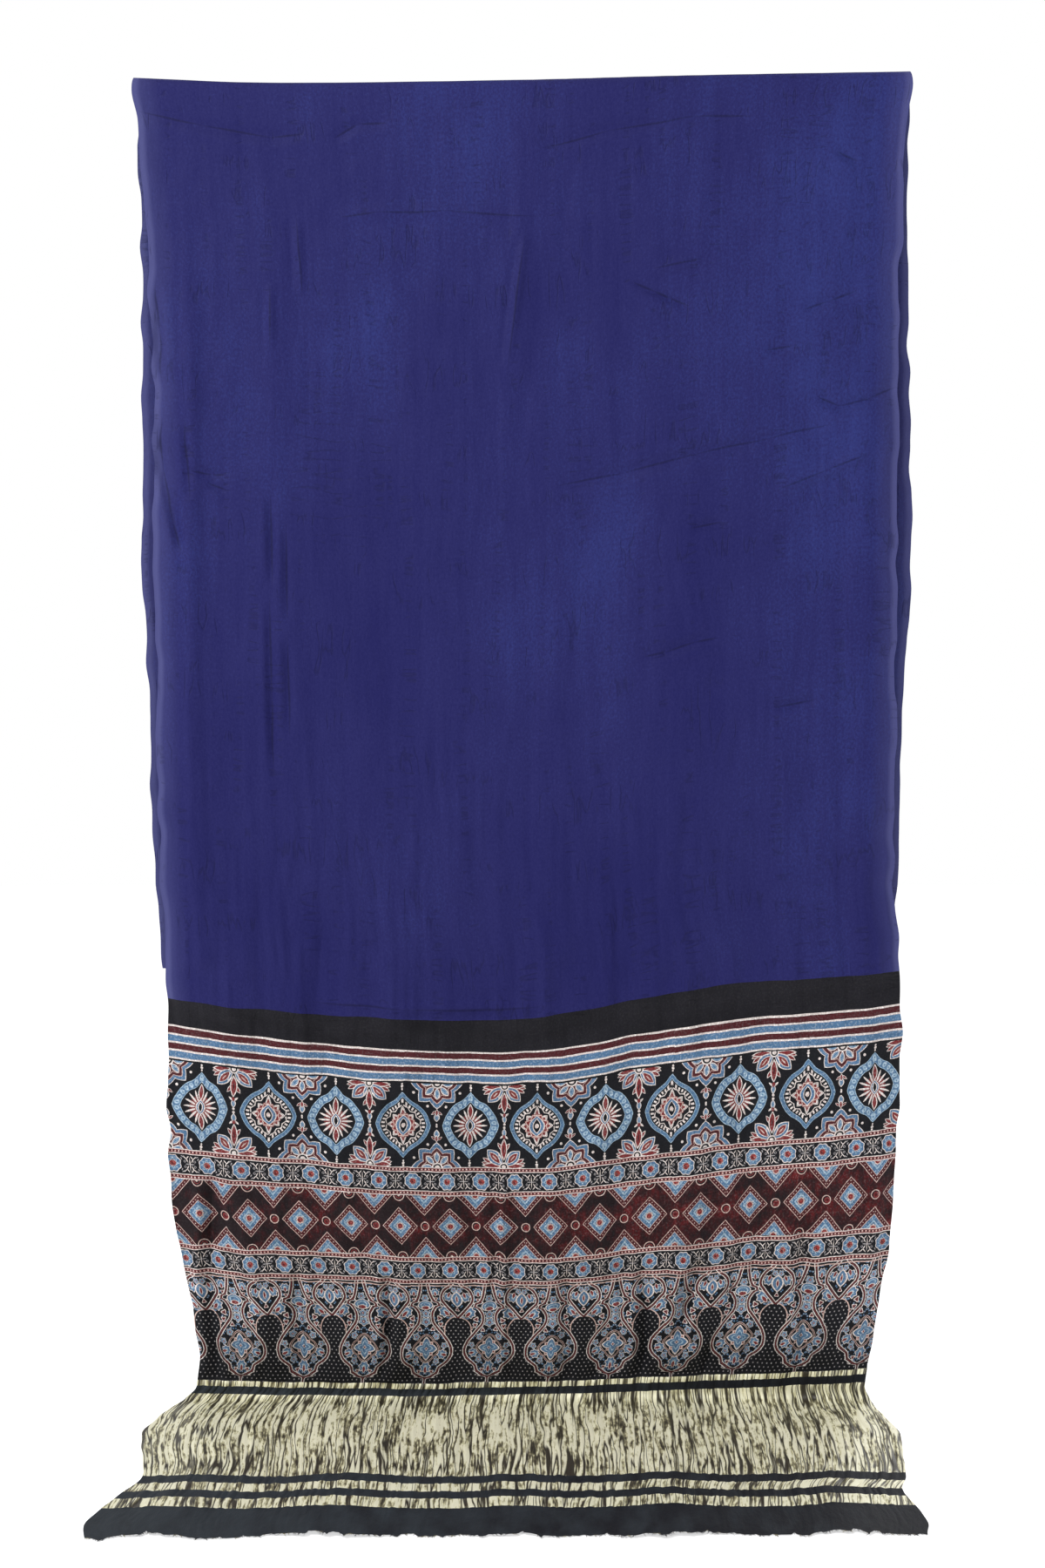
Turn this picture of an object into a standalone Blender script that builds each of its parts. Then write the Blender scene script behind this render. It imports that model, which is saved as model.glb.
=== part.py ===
"""A block-printed ajrakh length, hung doubled over a rail that isn't built.

Metres, +Z up. The origin is the middle of the top fold, the front faces -Y,
and the front's tissue end trails forward on the floor.
"""

import math

import bmesh
import bpy
from mathutils import Vector

# The cloth.
THICKNESS = 0.0015
BACK_FALL = 1.277  # from the fold to the hem behind
FRONT_LENGTH = 2.471  # from the fold to the cut end on the floor
BLUE_END = 1.343  # where the plain blue meets the black
PRINT_START = 1.390
PRINT_END = 1.907  # where the woven tissue begins

# How it hangs.
FOLD_RADIUS = 0.015
FLOOR = -1.8776  # the floor's height
BEND_RADIUS = 0.014  # where the front fall turns forward on the floor
QUARTER = math.pi / 2

# Both side edges, by place: metres from the fold along the hanging path, negative behind.
EDGES = [
    # place, left, right
    (-1.340, -0.513, 0.543),
    (-1.277, -0.517, 0.544),
    (-0.950, -0.533, 0.549),
    (-0.650, -0.545, 0.557),
    (-0.280, -0.544, 0.552),
    (-0.080, -0.552, 0.553),
    (0.000, -0.556, 0.555),
    (0.100, -0.543, 0.544),
    (0.300, -0.530, 0.536),
    (0.500, -0.525, 0.534),
    (0.850, -0.523, 0.532),
    (1.150, -0.515, 0.528),
    (1.270, -0.508, 0.532),
    (1.400, -0.504, 0.537),
    (1.550, -0.501, 0.533),
    (1.670, -0.488, 0.523),
    (1.790, -0.464, 0.501),
    (1.865, -0.459, 0.483),
    (1.905, -0.472, 0.484),
    (1.963, -0.500, 0.494),
    (2.037, -0.508, 0.505),
    (2.210, -0.482, 0.487),
    (2.258, -0.491, 0.473),
    (2.327, -0.508, 0.477),
    (2.385, -0.515, 0.477),
    (2.430, -0.506, 0.470),
]

# How far each weft line is drawn back towards the fold, at five places across the width.
LIFTS = [
    # weft line, left, quarter, middle, three quarters, right
    (-1.277, 0.000, 0.000, 0.000, 0.020, 0.039),
    (0.000, 0.010, 0.000, 0.000, 0.030, 0.045),
    (BLUE_END, 0.024, 0.001, 0.000, 0.044, 0.065),
    (PRINT_START, 0.036, 0.006, 0.000, 0.040, 0.066),
    (1.700, 0.040, 0.026, 0.020, 0.044, 0.066),
    (PRINT_END, 0.050, 0.045, 0.047, 0.055, 0.066),
    (FRONT_LENGTH, 0.052, 0.048, 0.048, 0.050, 0.056),
]

# The rail's own line: how far the fold stands above its middle.
RAIL_LINE = [
    # across, rise
    (0.00, 0.003),
    (0.17, -0.004),
    (0.50, 0.000),
    (0.70, 0.006),
    (1.00, 0.012),
]

# Soft folds that run down the cloth: where across, how wide, how far out, and from where to where.
FOLDS = [
    # across, half width, rise, start, full, end
    (0.00, 0.016, -0.009, 0.12, 0.45, 1.87),
    (0.05, 0.014, 0.006, 0.20, 0.45, 1.30),
    (0.16, 0.040, 0.004, 0.15, 0.35, 0.90),
    (0.30, 0.060, -0.003, 0.30, 0.70, 1.30),
    (0.49, 0.022, 0.004, 0.18, 0.28, 0.46),
    (0.70, 0.060, 0.004, 0.30, 0.70, 1.30),
    (0.95, 0.020, 0.004, 0.30, 0.60, 1.50),
    (1.00, 0.016, -0.008, 0.12, 0.45, 1.87),
    (0.09, 0.030, 0.008, 1.00, 1.60, 1.87),
    (0.20, 0.034, -0.006, 0.95, 1.55, 1.87),
    (0.31, 0.032, 0.007, 0.90, 1.60, 1.87),
    (0.42, 0.036, -0.005, 0.95, 1.55, 1.87),
    (0.52, 0.032, 0.008, 0.90, 1.60, 1.87),
    (0.62, 0.030, -0.006, 1.00, 1.60, 1.87),
    (0.71, 0.030, 0.008, 0.95, 1.65, 1.87),
    (0.80, 0.032, -0.005, 1.00, 1.55, 1.87),
    (0.90, 0.030, 0.007, 1.00, 1.60, 1.87),
    (0.08, 0.050, 0.006, 1.90, 2.00, 2.60),
    (0.27, 0.060, 0.009, 1.90, 2.02, 2.60),
    (0.49, 0.050, 0.006, 1.90, 2.05, 2.60),
    (0.68, 0.060, 0.008, 1.90, 2.00, 2.60),
    (0.90, 0.050, 0.007, 1.90, 2.03, 2.60),
    (0.12, 0.060, 0.010, -0.15, -0.70, -1.50),
    (0.37, 0.080, -0.006, -0.15, -0.80, -1.50),
    (0.61, 0.070, 0.009, -0.15, -0.70, -1.50),
    (0.86, 0.060, 0.010, -0.15, -0.80, -1.50),
]

# The mesh's own grid: steps along each stretch of the path, and columns across the width.
STRETCHES = [
    # start, end, steps
    (-BACK_FALL, -0.060, 13),
    (-0.060, 0.060, 8),
    (0.060, 1.820, 22),
    (1.820, 1.970, 8),
    (1.970, FRONT_LENGTH, 8),
]
EDGE_COLUMNS = 5
EDGE_BAND = 0.055  # the share of the width where the columns stand closer
MIDDLE_COLUMNS = 30

BLUE = (0.028, 0.028, 0.140, 1.0)
ROUGHNESS = 0.62


def smooth(start, end, value):
    """0 before start and 1 past end, eased between them."""
    share = min(max((value - start) / (end - start), 0.0), 1.0)
    return share * share * (3.0 - 2.0 * share)


def read(table, column, place):
    """A table's column at a place, on a smooth curve through its rows."""
    last = len(table) - 2
    row = max((i for i in range(last + 1) if table[i][0] <= place), default=0)
    x0, x1 = table[row][0], table[row + 1][0]
    y0, y1 = table[row][column], table[row + 1][column]
    before, after = table[max(row - 1, 0)], table[min(row + 2, last + 1)]
    slope_0 = (y1 - before[column]) / (x1 - before[0])
    slope_1 = (after[column] - y0) / (after[0] - x0)
    span = x1 - x0
    t = min(max((place - x0) / span, 0.0), 1.0)
    return (
        (1 + 2 * t) * (1 - t) ** 2 * y0
        + t * (1 - t) ** 2 * span * slope_0
        + t * t * (3 - 2 * t) * y1
        + t * t * (t - 1) * span * slope_1
    )


def lift(across, weft):
    """How far a weft line is drawn back at one place across the width."""
    points = [(i / 4, read(LIFTS, 1 + i, weft)) for i in range(5)]
    return read(points, 1, across)


def path(place):
    """Depth and height on the hanging path, and the way it faces there."""
    quarter_arc = FOLD_RADIUS * QUARTER
    straight = -FLOOR - FOLD_RADIUS - BEND_RADIUS
    bend = place - quarter_arc - straight
    if abs(place) <= quarter_arc:
        turn = place / FOLD_RADIUS
        return -FOLD_RADIUS * math.sin(turn), FOLD_RADIUS * (math.cos(turn) - 1), turn
    if place < 0:
        return FOLD_RADIUS, -FOLD_RADIUS + place + quarter_arc, -QUARTER
    if bend <= 0:
        return -FOLD_RADIUS, -FOLD_RADIUS - place + quarter_arc, QUARTER
    turn = min(bend / BEND_RADIUS, QUARTER)
    run = bend - turn * BEND_RADIUS
    depth = -FOLD_RADIUS - BEND_RADIUS * (1 - math.cos(turn)) - run
    return depth, FLOOR + BEND_RADIUS * (1 - math.sin(turn)), QUARTER - turn


def folds(across, place, width):
    """How far the soft folds stand out of the path."""
    out = 0.0
    for middle, half_width, rise, start, full, end in FOLDS:
        side = 1.0 if full > 0 else -1.0
        near, far, most = side * start, side * end, side * full
        along = smooth(near, most, side * place) * (1 - smooth(far - 0.05, far, side * place))
        out += rise * along * math.exp(-(((across - middle) * width / half_width) ** 2))
    return out


def cloth_point(across, weft):
    """A point of the cloth's middle surface, by its share of the width and its weft line."""
    place = weft - lift(across, weft)
    left, right = read(EDGES, 1, place), read(EDGES, 2, place)
    depth, height, facing = path(place)
    out = folds(across, place, right - left)
    held = 1 - smooth(0.0, 0.4, abs(place))
    out_depth, out_height = -math.sin(facing) * out, math.cos(facing) * out
    rail = read(RAIL_LINE, 1, across) * held
    x = left + (right - left) * across
    lowest = FLOOR + THICKNESS / 2
    return Vector((x, depth + out_depth, max(height + out_height + rail, lowest)))


def weft_lines():
    """The weft lines of the grid, closer at the fold and at the floor."""
    lines = [STRETCHES[0][0]]
    for start, end, steps in STRETCHES:
        lines += [start + (end - start) * (i + 1) / steps for i in range(steps)]
    return lines


def warp_lines():
    """The grid's places across the width, closer at both edges."""
    edge = [EDGE_BAND * i / EDGE_COLUMNS for i in range(EDGE_COLUMNS)]
    span = 1 - 2 * EDGE_BAND
    middle = [EDGE_BAND + span * i / MIDDLE_COLUMNS for i in range(MIDDLE_COLUMNS + 1)]
    return edge + middle + [1 - share for share in reversed(edge)]


def grid_mesh(name):
    """The cloth's middle surface as a mesh that faces outwards."""
    bm = bmesh.new()
    rows = [[bm.verts.new(cloth_point(u, w)) for u in warp_lines()] for w in weft_lines()]
    for row, after in zip(rows, rows[1:]):
        for i in range(len(row) - 1):
            bm.faces.new((row[i], after[i], after[i + 1], row[i + 1]))
    mesh = bpy.data.meshes.new(name)
    bm.to_mesh(mesh)
    bm.free()
    mesh.shade_smooth()
    return mesh


def dyed_cloth():
    """The blue of the plain body."""
    material = bpy.data.materials.new("indigo_silk")
    material.use_nodes = True
    shader = material.node_tree.nodes["Principled BSDF"]
    shader.inputs["Base Color"].default_value = BLUE
    shader.inputs["Roughness"].default_value = ROUGHNESS
    shader.inputs["Metallic"].default_value = 0.0
    return material


def build_cloth():
    """The whole length as one sheet."""
    cloth = bpy.data.objects.new("cloth", grid_mesh("cloth"))
    cloth.data.materials.append(dyed_cloth())
    bpy.context.scene.collection.objects.link(cloth)
    sheet = cloth.modifiers.new("sheet", "SOLIDIFY")
    sheet.thickness = THICKNESS
    sheet.offset = 0.0


def main():
    for old in list(bpy.data.objects):
        bpy.data.objects.remove(old)
    build_cloth()


main()
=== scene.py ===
"""The looks of a block-printed ajrakh cloth that hangs doubled over a rail.

The cloth is cut flat, with its weave, print and tissue laid out in metres on its own UV map,
and is then hung on the frame's folds.
"""

import math
from functools import partial

import bmesh
import bpy
import numpy as np
from mathutils import Euler, Matrix, Vector


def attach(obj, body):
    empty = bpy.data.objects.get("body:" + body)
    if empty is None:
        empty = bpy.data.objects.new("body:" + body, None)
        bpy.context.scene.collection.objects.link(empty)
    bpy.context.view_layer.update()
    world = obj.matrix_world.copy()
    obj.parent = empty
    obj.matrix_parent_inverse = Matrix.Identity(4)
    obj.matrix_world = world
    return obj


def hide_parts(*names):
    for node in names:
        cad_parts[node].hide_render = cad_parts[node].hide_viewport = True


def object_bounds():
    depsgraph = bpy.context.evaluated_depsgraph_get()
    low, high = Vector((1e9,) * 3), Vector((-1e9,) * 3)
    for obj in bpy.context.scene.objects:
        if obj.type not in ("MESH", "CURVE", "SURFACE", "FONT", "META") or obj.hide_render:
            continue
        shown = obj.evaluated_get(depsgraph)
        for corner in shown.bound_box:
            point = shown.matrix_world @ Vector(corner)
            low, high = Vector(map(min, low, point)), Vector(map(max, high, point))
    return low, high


bl_info = {
    "name": "Ajrakh Cloth",
    "version": (1, 0, 0),
    "blender": (4, 5, 0),
    "location": "View3D > Sidebar > Ajrakh",
    "description": "Builds a block-printed ajrakh cloth on its packed frame",
    "category": "Add Mesh",
}

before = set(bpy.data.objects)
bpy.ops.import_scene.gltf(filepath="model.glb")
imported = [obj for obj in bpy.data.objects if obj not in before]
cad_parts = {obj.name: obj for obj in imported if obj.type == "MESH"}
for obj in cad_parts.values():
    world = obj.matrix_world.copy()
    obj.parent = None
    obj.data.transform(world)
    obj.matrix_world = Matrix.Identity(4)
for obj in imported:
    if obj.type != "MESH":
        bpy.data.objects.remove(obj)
CAD_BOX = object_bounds()

# The UV map that holds each point's place in the flat cloth, in metres.
WEAVE = "weave"

# The cloth as woven: its width, and where each band starts or ends, in metres along it from the
# fold. Negative is behind.
CLOTH_WIDTH = 1.110
BACK_FALL = 1.277
BODY_START = -0.060
BLUE_END = 1.343
PRINT_START = 1.390
MEDALLIONS = 1.441
ROSETTES_1 = 1.567
DIAMONDS = 1.6107
ROSETTES_2 = 1.7047
PALMETTES = 1.7484
PRINT_END = 1.907
NARROW_LINE = 1.9145
TISSUE_START = 1.926
TISSUE_END = 2.260
FIRST_STRIP = 2.288
SECOND_LINE = 2.317
SECOND_STRIP = 2.343
BANDS_END = 2.376
FRONT_LENGTH = 2.471

# How it hangs, as in the part's own source.
THICKNESS = 0.0015
FOLD_RADIUS = 0.015
FLOOR = -1.8776
BEND_RADIUS = 0.014
QUARTER = math.pi / 2
# Past this place the cloth lies on the floor. It spreads at its sides there and not in its middle.
SPREAD_START = 1.885
# The weft line by which the tissue's crush has come upright.
SHEAR_END = 2.08

# The selvedges, in metres from the middle.
EDGES = [
    # place, left, right
    (-1.340, -0.513, 0.530),
    (-1.277, -0.517, 0.533),
    (-0.950, -0.533, 0.545),
    (-0.650, -0.545, 0.557),
    (-0.280, -0.544, 0.552),
    (-0.080, -0.552, 0.553),
    (0.000, -0.556, 0.555),
    (0.100, -0.543, 0.544),
    (0.300, -0.530, 0.536),
    (0.500, -0.525, 0.534),
    (0.850, -0.523, 0.532),
    (1.150, -0.515, 0.528),
    (1.270, -0.508, 0.538),
    (1.400, -0.504, 0.539),
    (1.550, -0.501, 0.533),
    (1.670, -0.488, 0.523),
    (1.790, -0.464, 0.501),
    (1.865, -0.462, 0.484),
    (1.885, -0.478, 0.491),
    (1.926, -0.493, 0.497),
    (1.963, -0.499, 0.501),
    (2.037, -0.508, 0.507),
    (2.210, -0.482, 0.487),
    (2.258, -0.491, 0.473),
    (2.327, -0.508, 0.477),
    (2.385, -0.515, 0.477),
    (2.430, -0.506, 0.470),
]
# How far the weft lines are drawn back from level, in metres.
LIFTS = [
    # weft line, left, quarter, middle, three quarters, right
    (-1.277, 0.000, 0.000, 0.000, 0.020, 0.039),
    (0.000, 0.010, 0.000, 0.000, 0.030, 0.045),
    (BLUE_END, 0.024, 0.001, 0.000, 0.044, 0.065),
    (PRINT_START, 0.036, 0.006, 0.000, 0.040, 0.066),
    (1.700, 0.040, 0.026, 0.020, 0.044, 0.066),
    (PRINT_END, 0.050, 0.045, 0.047, 0.055, 0.066),
    (FRONT_LENGTH, 0.043, 0.042, 0.045, 0.048, 0.056),
]
# How far the top fold stands off level, in metres.
RAIL_LINE = [
    # across, rise
    (0.00, 0.003),
    (0.17, -0.004),
    (0.50, 0.000),
    (0.70, 0.006),
    (1.00, 0.012),
]
# The soft folds down the cloth. Each grows from its start, is full further on, and dies at its end.
FOLDS = [
    # across, half width, rise, start, full, end
    (0.00, 0.016, -0.009, 0.12, 0.45, 1.87),
    (0.05, 0.014, 0.006, 0.20, 0.45, 1.30),
    (0.16, 0.040, 0.004, 0.15, 0.35, 0.90),
    (0.30, 0.060, -0.003, 0.30, 0.70, 1.30),
    (0.49, 0.022, 0.004, 0.18, 0.28, 0.46),
    (0.70, 0.060, 0.004, 0.30, 0.70, 1.30),
    (0.95, 0.020, 0.004, 0.30, 0.60, 1.50),
    (1.00, 0.016, -0.008, 0.12, 0.45, 1.87),
    (0.09, 0.030, 0.008, 1.00, 1.60, 1.87),
    (0.20, 0.034, -0.006, 0.95, 1.55, 1.87),
    (0.31, 0.032, 0.007, 0.90, 1.60, 1.87),
    (0.42, 0.036, -0.005, 0.95, 1.55, 1.87),
    (0.52, 0.032, 0.008, 0.90, 1.60, 1.87),
    (0.62, 0.030, -0.006, 1.00, 1.60, 1.87),
    (0.71, 0.030, 0.008, 0.95, 1.65, 1.87),
    (0.80, 0.032, -0.005, 1.00, 1.55, 1.87),
    (0.90, 0.030, 0.007, 1.00, 1.60, 1.87),
    (0.08, 0.050, 0.003, 1.90, 2.00, 2.60),
    (0.27, 0.060, 0.005, 1.90, 2.02, 2.60),
    (0.49, 0.050, 0.003, 1.90, 2.05, 2.60),
    (0.68, 0.060, 0.005, 1.90, 2.00, 2.60),
    (0.90, 0.050, 0.004, 1.90, 2.03, 2.60),
    (0.12, 0.060, 0.010, -0.15, -0.70, -1.50),
    (0.37, 0.080, -0.006, -0.15, -0.80, -1.50),
    (0.61, 0.070, 0.009, -0.15, -0.70, -1.50),
    (0.86, 0.060, 0.010, -0.15, -0.80, -1.50),
]

# Main creases of the front: the line they follow, by metres right of the middle
# and below the fold, then half how wide and how far out. A trough is negative.
CREASES = [
    ([(0.054, 0.578), (0.142, 0.562), (0.245, 0.535), (0.351, 0.512), (0.434, 0.494)], 0.010, -0.0030),
    ([(0.361, 0.587), (0.434, 0.559), (0.487, 0.538)], 0.009, 0.0026),
    ([(0.240, 0.640), (0.285, 0.632)], 0.008, -0.0022),
    ([(0.175, 0.822), (0.204, 0.816), (0.245, 0.802), (0.277, 0.796)], 0.008, -0.0024),
    ([(0.360, 0.895), (0.417, 0.884)], 0.007, -0.0030),
    ([(0.447, 0.115), (0.475, 0.127)], 0.006, -0.0026),
    ([(0.158, 0.293), (0.187, 0.305), (0.210, 0.315), (0.235, 0.326)], 0.006, -0.0028),
    ([(0.187, 0.274), (0.253, 0.262)], 0.007, 0.0020),
    ([(0.400, 0.330), (0.434, 0.320), (0.475, 0.305)], 0.008, -0.0022),
    ([(0.347, 0.387), (0.384, 0.383)], 0.008, -0.0018),
    ([(0.421, 0.455), (0.450, 0.467), (0.491, 0.457), (0.531, 0.439)], 0.008, -0.0028),
    ([(-0.541, 0.052), (-0.455, 0.068), (-0.357, 0.082), (-0.311, 0.077)], 0.008, -0.0020),
    ([(-0.267, 0.084), (-0.234, 0.064), (-0.193, 0.063)], 0.007, -0.0018),
    ([(0.032, 0.100), (0.122, 0.077), (0.245, 0.062), (0.323, 0.064)], 0.008, -0.0020),
    ([(-0.258, 0.197), (-0.205, 0.190), (-0.111, 0.190), (0.012, 0.198)], 0.009, 0.0014),
    ([(-0.357, 0.298), (-0.357, 0.383)], 0.006, 0.0024),
    ([(0.004, 0.227), (-0.021, 0.408)], 0.006, 0.0026),
    ([(-0.320, 0.203), (-0.314, 0.309)], 0.006, 0.0020),
    ([(-0.519, 0.297), (-0.517, 0.358), (-0.514, 0.424)], 0.006, -0.0030),
    ([(-0.514, 0.485), (-0.513, 0.552), (-0.494, 0.634), (-0.485, 0.670)], 0.007, -0.0034),
    ([(-0.480, 0.485), (-0.472, 0.600)], 0.006, -0.0024),
    ([(-0.472, 0.559), (-0.440, 0.564), (-0.421, 0.564)], 0.007, -0.0026),
    ([(-0.445, 0.577), (-0.421, 0.586)], 0.007, -0.0024),
    ([(-0.292, 1.313), (-0.168, 1.323), (0.020, 1.319)], 0.007, 0.0016),
    ([(-0.358, 0.600), (-0.356, 0.715)], 0.006, -0.0026),
    ([(-0.359, 0.745), (-0.357, 0.880), (-0.353, 0.980)], 0.006, -0.0026),
    ([(-0.336, 0.640), (-0.334, 0.770)], 0.006, -0.0020),
    ([(-0.334, 0.800), (-0.331, 0.930)], 0.006, -0.0022),
    ([(-0.193, 1.700), (-0.191, 1.780), (-0.195, 1.868)], 0.008, -0.0090),
    ([(-0.028, 1.520), (-0.026, 1.680), (-0.030, 1.865)], 0.007, 0.0050),
    ([(-0.189, 1.420), (-0.190, 1.540)], 0.007, -0.0030),
    ([(0.250, 1.680), (0.232, 1.730), (0.220, 1.790)], 0.010, -0.0080),
    ([(0.171, 1.690), (0.173, 1.780), (0.168, 1.865)], 0.008, -0.0080),
    ([(0.262, 1.800), (0.255, 1.868)], 0.009, -0.0060),
    ([(-0.440, 1.560), (-0.446, 1.700), (-0.430, 1.860)], 0.010, -0.0060),
    ([(0.395, 1.600), (0.400, 1.740), (0.385, 1.860)], 0.010, -0.0050),
    ([(-0.320, 1.690), (-0.316, 1.860)], 0.009, -0.0050),
    ([(0.060, 1.700), (0.064, 1.862)], 0.009, -0.0050),
]
# All of them are this much deeper than listed, which keeps their proportions.
CREASE_DEPTH = 1.7
# Half the width of the line of painted shade along a crease.
CREASE_LINE = 0.0026
# The random values of wrinkles and wavers repeat after this many cells across and down.
LATTICE = (97, 89)

# The printing blocks, in millimetres.
REPEAT = 102.0
BEADED_PHASE = 50.0
ROSETTE_PITCH = 52.0
ROSETTE_PHASE = 6.0
DIAMOND_PITCH = 77.0
DIAMOND_PHASE = 40.0
PALMETTE_PHASE = 72.0
KEYHOLE_TOP = 76.0
KEYHOLE_END = 90.0
KEYHOLE_RADIUS = 20.8
KEYHOLE_RIM = 0.04
SEED_ROW = 5.4
SEED_PITCH = 7.6
SEED_RADIUS = 1.05
TOP_RULE = (3.3, 0.8)
# Small sprigs fill the palmettes, 5 mm apart.
SPRIG_SCALE = (0.20, 0.20, 1.0)
# Between these depths below the palmettes' top, their brightness falls from the one to the other.
DARKENING = (80.0, 158.0, 1.0, 0.68)
# How far a block slips, and how far a cut line wavers. Waver cells are 18 mm wide.
SLIP = 0.9
WAVER = 2.0
WAVER_SCALE = (55.0, 55.0, 1.0)
# How bright washed print is next to its dyes, and how much that varies from thread to thread.
PRINT_VALUE = 0.88
THREAD_MOTTLE = 0.9
# Where each stripe starts below the black band. The ramp that holds them is this long.
STRIPES_LENGTH = 60.0
STRIPES = [
    (0.0, "resist"),
    (2.6, "maroon"),
    (11.6, "resist"),
    (14.2, "indigo"),
    (23.2, "resist"),
    (25.6, "maroon"),
    (34.2, "resist"),
    (36.8, "indigo"),
    (45.8, "resist"),
    (48.4, "black"),
]

# The rule of dots along a rosette border: its middle from the edge, half its lines' widths, its
# dots' pitch, and half the sizes of a dot and of the black mark between two dots.
RULE_MIDDLE = 3.9
RULE_LINES = [(3.8, "resist"), (2.4, "madder")]
RULE_PITCH = 5.4
RULE_DOT = (1.2, 1.3)
RULE_GAP = (0.9, 1.5)

# Half outlines of the medallions, by angle from the top, in radians, and distance.
BEADED_OUTLINE = [
    (0, 51), (0.07, 48), (0.18, 43.6), (0.33, 40.2), (0.6, 40.2), (0.95, 39.4), (1.3, 40.2), (1.58, 42.4),
]
LEAFY_OUTLINE = [
    (0, 49.5), (0.08, 46), (0.2, 41), (0.38, 38), (0.75, 37.8), (1.16, 39.2), (1.58, 42.2),
]
BEADED_RING = [(0, "black"), (0.70, "pale_indigo"), (0.725, "indigo"), (0.97, "pale_indigo")]
LEAFY_RING = [(0, "black"), (0.845, "pale_indigo"), (0.865, "indigo"), (0.98, "pale_indigo")]
BEADS = 26
BEAD_CIRCLE = 37.0
BEAD_RADIUS = 4.1
# Where the beads and the ticks lie: the middle and half the width, as shares of the ring.
BEAD_BAND = (0.85, 0.125)
TICK_BAND = (0.745, 0.06)
PETALS = 16
PETAL_RADIUS = 18.0
# Half the width of a petal's outline, by distance from the medallion's middle.
PETAL_OUTLINE = [(0, 0.4), (8, 0.7), (13, 1.35), (19, 1.35), (23, 0.8), (25.5, 0.0)]
TICKS = 34
TICK_TURN = 0.045
# Wreaths of leaves: lobes, how deep they are cut, reach as a share of the ring, and colours.
LEAF_WREATHS = [
    (12, -0.32, 0.62, [(0, "black"), (0.94, "resist")]),
    (8, 0.50, 0.64, [(0, "black"), (0.86, "resist"), (0.92, "black")]),
    (8, 0.50, 0.54, [(0, "madder"), (0.64, "resist"), (0.70, "madder"), (0.90, "resist")]),
    (8, -0.34, 0.36, [(0, "madder"), (0.82, "rose"), (0.94, "madder")]),
]

# Rings of dye, from the middle of a shape outwards.
RED_LEAF = [(0, "madder"), (0.66, "resist")]
BLUE_LEAF = [(0, "indigo"), (0.30, "pale_indigo"), (0.44, "indigo"), (0.66, "resist")]
SMALL_EYE = [(0, "black"), (0.34, "resist"), (0.52, "indigo"), (0.78, "resist")]
LARGE_EYE = [(0, "black"), (0.42, "resist"), (0.52, "indigo"), (0.86, "resist")]
SEED_HEAD = [(0, "resist"), (0.46, "black"), (0.74, "resist")]
LOTUS_PETAL = [(0, "rose"), (0.10, "madder"), (0.42, "resist"), (0.52, "indigo"), (0.84, "resist")]
STAR_PETALS = [
    (0, "maroon"),
    (0.60, "rose"),
    (0.63, "maroon"),
    (0.765, "rose"),
    (0.80, "indigo"),
    (0.962, "resist"),
]

# Motifs: the shape, its middle, its half sizes or its radius, petals and cut, its turn and its dyes.
FLOWER_HEART = [
    ("leaf", (0, 21.5), (12.0, 4.4), 90, RED_LEAF),
    ("oval", (0, 0), (8.6, 9.6), 0, "madder"),
    ("leaf", (0, 0), (11.0, 7.4), 90, SMALL_EYE),
]
LEAFY_HEART = [
    ("leaf", (0, 0), (15.5, 12.0), 90, LARGE_EYE),
    ("oval", (0, 0), (3.0, 3.4), 0, [(0, "resist"), (0.5, "rose"), (0.75, "resist")]),
]
STEM_BEADS = [
    ("oval", (0, 1.8), (1.5, 1.5), 0, "resist"),
    ("oval", (0, 5.4), (2.0, 1.9), 0, "resist"),
    ("oval", (0, 9.2), (1.2, 1.7), 0, "resist"),
]
STAR = [
    ("flower", (0, 0), (38.4, 8, 0.25), 0, STAR_PETALS),
    ("leaf", (0, 15.5), (8.8, 4.6), 90, BLUE_LEAF),
    ("leaf", (11, 11), (8.8, 4.6), 45, BLUE_LEAF),
    ("leaf", (15.5, 0), (8.8, 4.6), 0, BLUE_LEAF),
    ("oval", (0, 0), (8.5, 7.5), 0, [(0, "resist"), (0.45, "black"), (0.74, "resist")]),
    ("oval", (14.0, 34.4), (2.0, 2.0), 0, "resist"),
    ("oval", (34.4, 14.0), (2.0, 2.0), 0, "resist"),
]
LOTUS = [
    ("leaf", (25.5, 10), (7.5, 3.0), 32, RED_LEAF),
    ("leaf", (27, 5.5), (7.0, 2.6), 16, RED_LEAF),
    ("leaf", (18, 2.5), (15.5, 4.4), 2, RED_LEAF),
    ("leaf", (14.0, 14.5), (16.5, 9.6), 45, LOTUS_PETAL),
    ("leaf", (5.5, 30.5), (7.5, 2.8), 55, RED_LEAF),
    ("leaf", (0, 27), (16.5, 5.4), 90, [(0, "black"), (0.14, "madder"), (0.72, "resist")]),
    ("leaf", (5.0, 12), (9.5, 2.0), 66, [(0, "indigo"), (0.55, "resist")]),
    ("oval", (0, 1.5), (7.0, 6.5), 0, SEED_HEAD),
]
STAR_LINK = [
    ("oval", (0, 1.2), (1.4, 1.6), 0, "resist"),
    ("leaf", (0, 12.6), (7.0, 4.4), 90, BLUE_LEAF),
    ("leaf", (4.4, 19.2), (5.0, 1.8), -35, RED_LEAF),
    ("leaf", (0, 19.4), (5.2, 2.6), 90, RED_LEAF),
]
LOTUS_LINK = [
    ("oval", (0, 2.6), (2.0, 1.9), 0, "resist"),
    ("leaf", (0, 10.6), (6.6, 3.6), 90, BLUE_LEAF),
    ("leaf", (3.6, 17.4), (4.2, 1.5), 40, "resist"),
    ("leaf", (0, 17.2), (3.6, 2.4), 90, "madder"),
]
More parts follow.
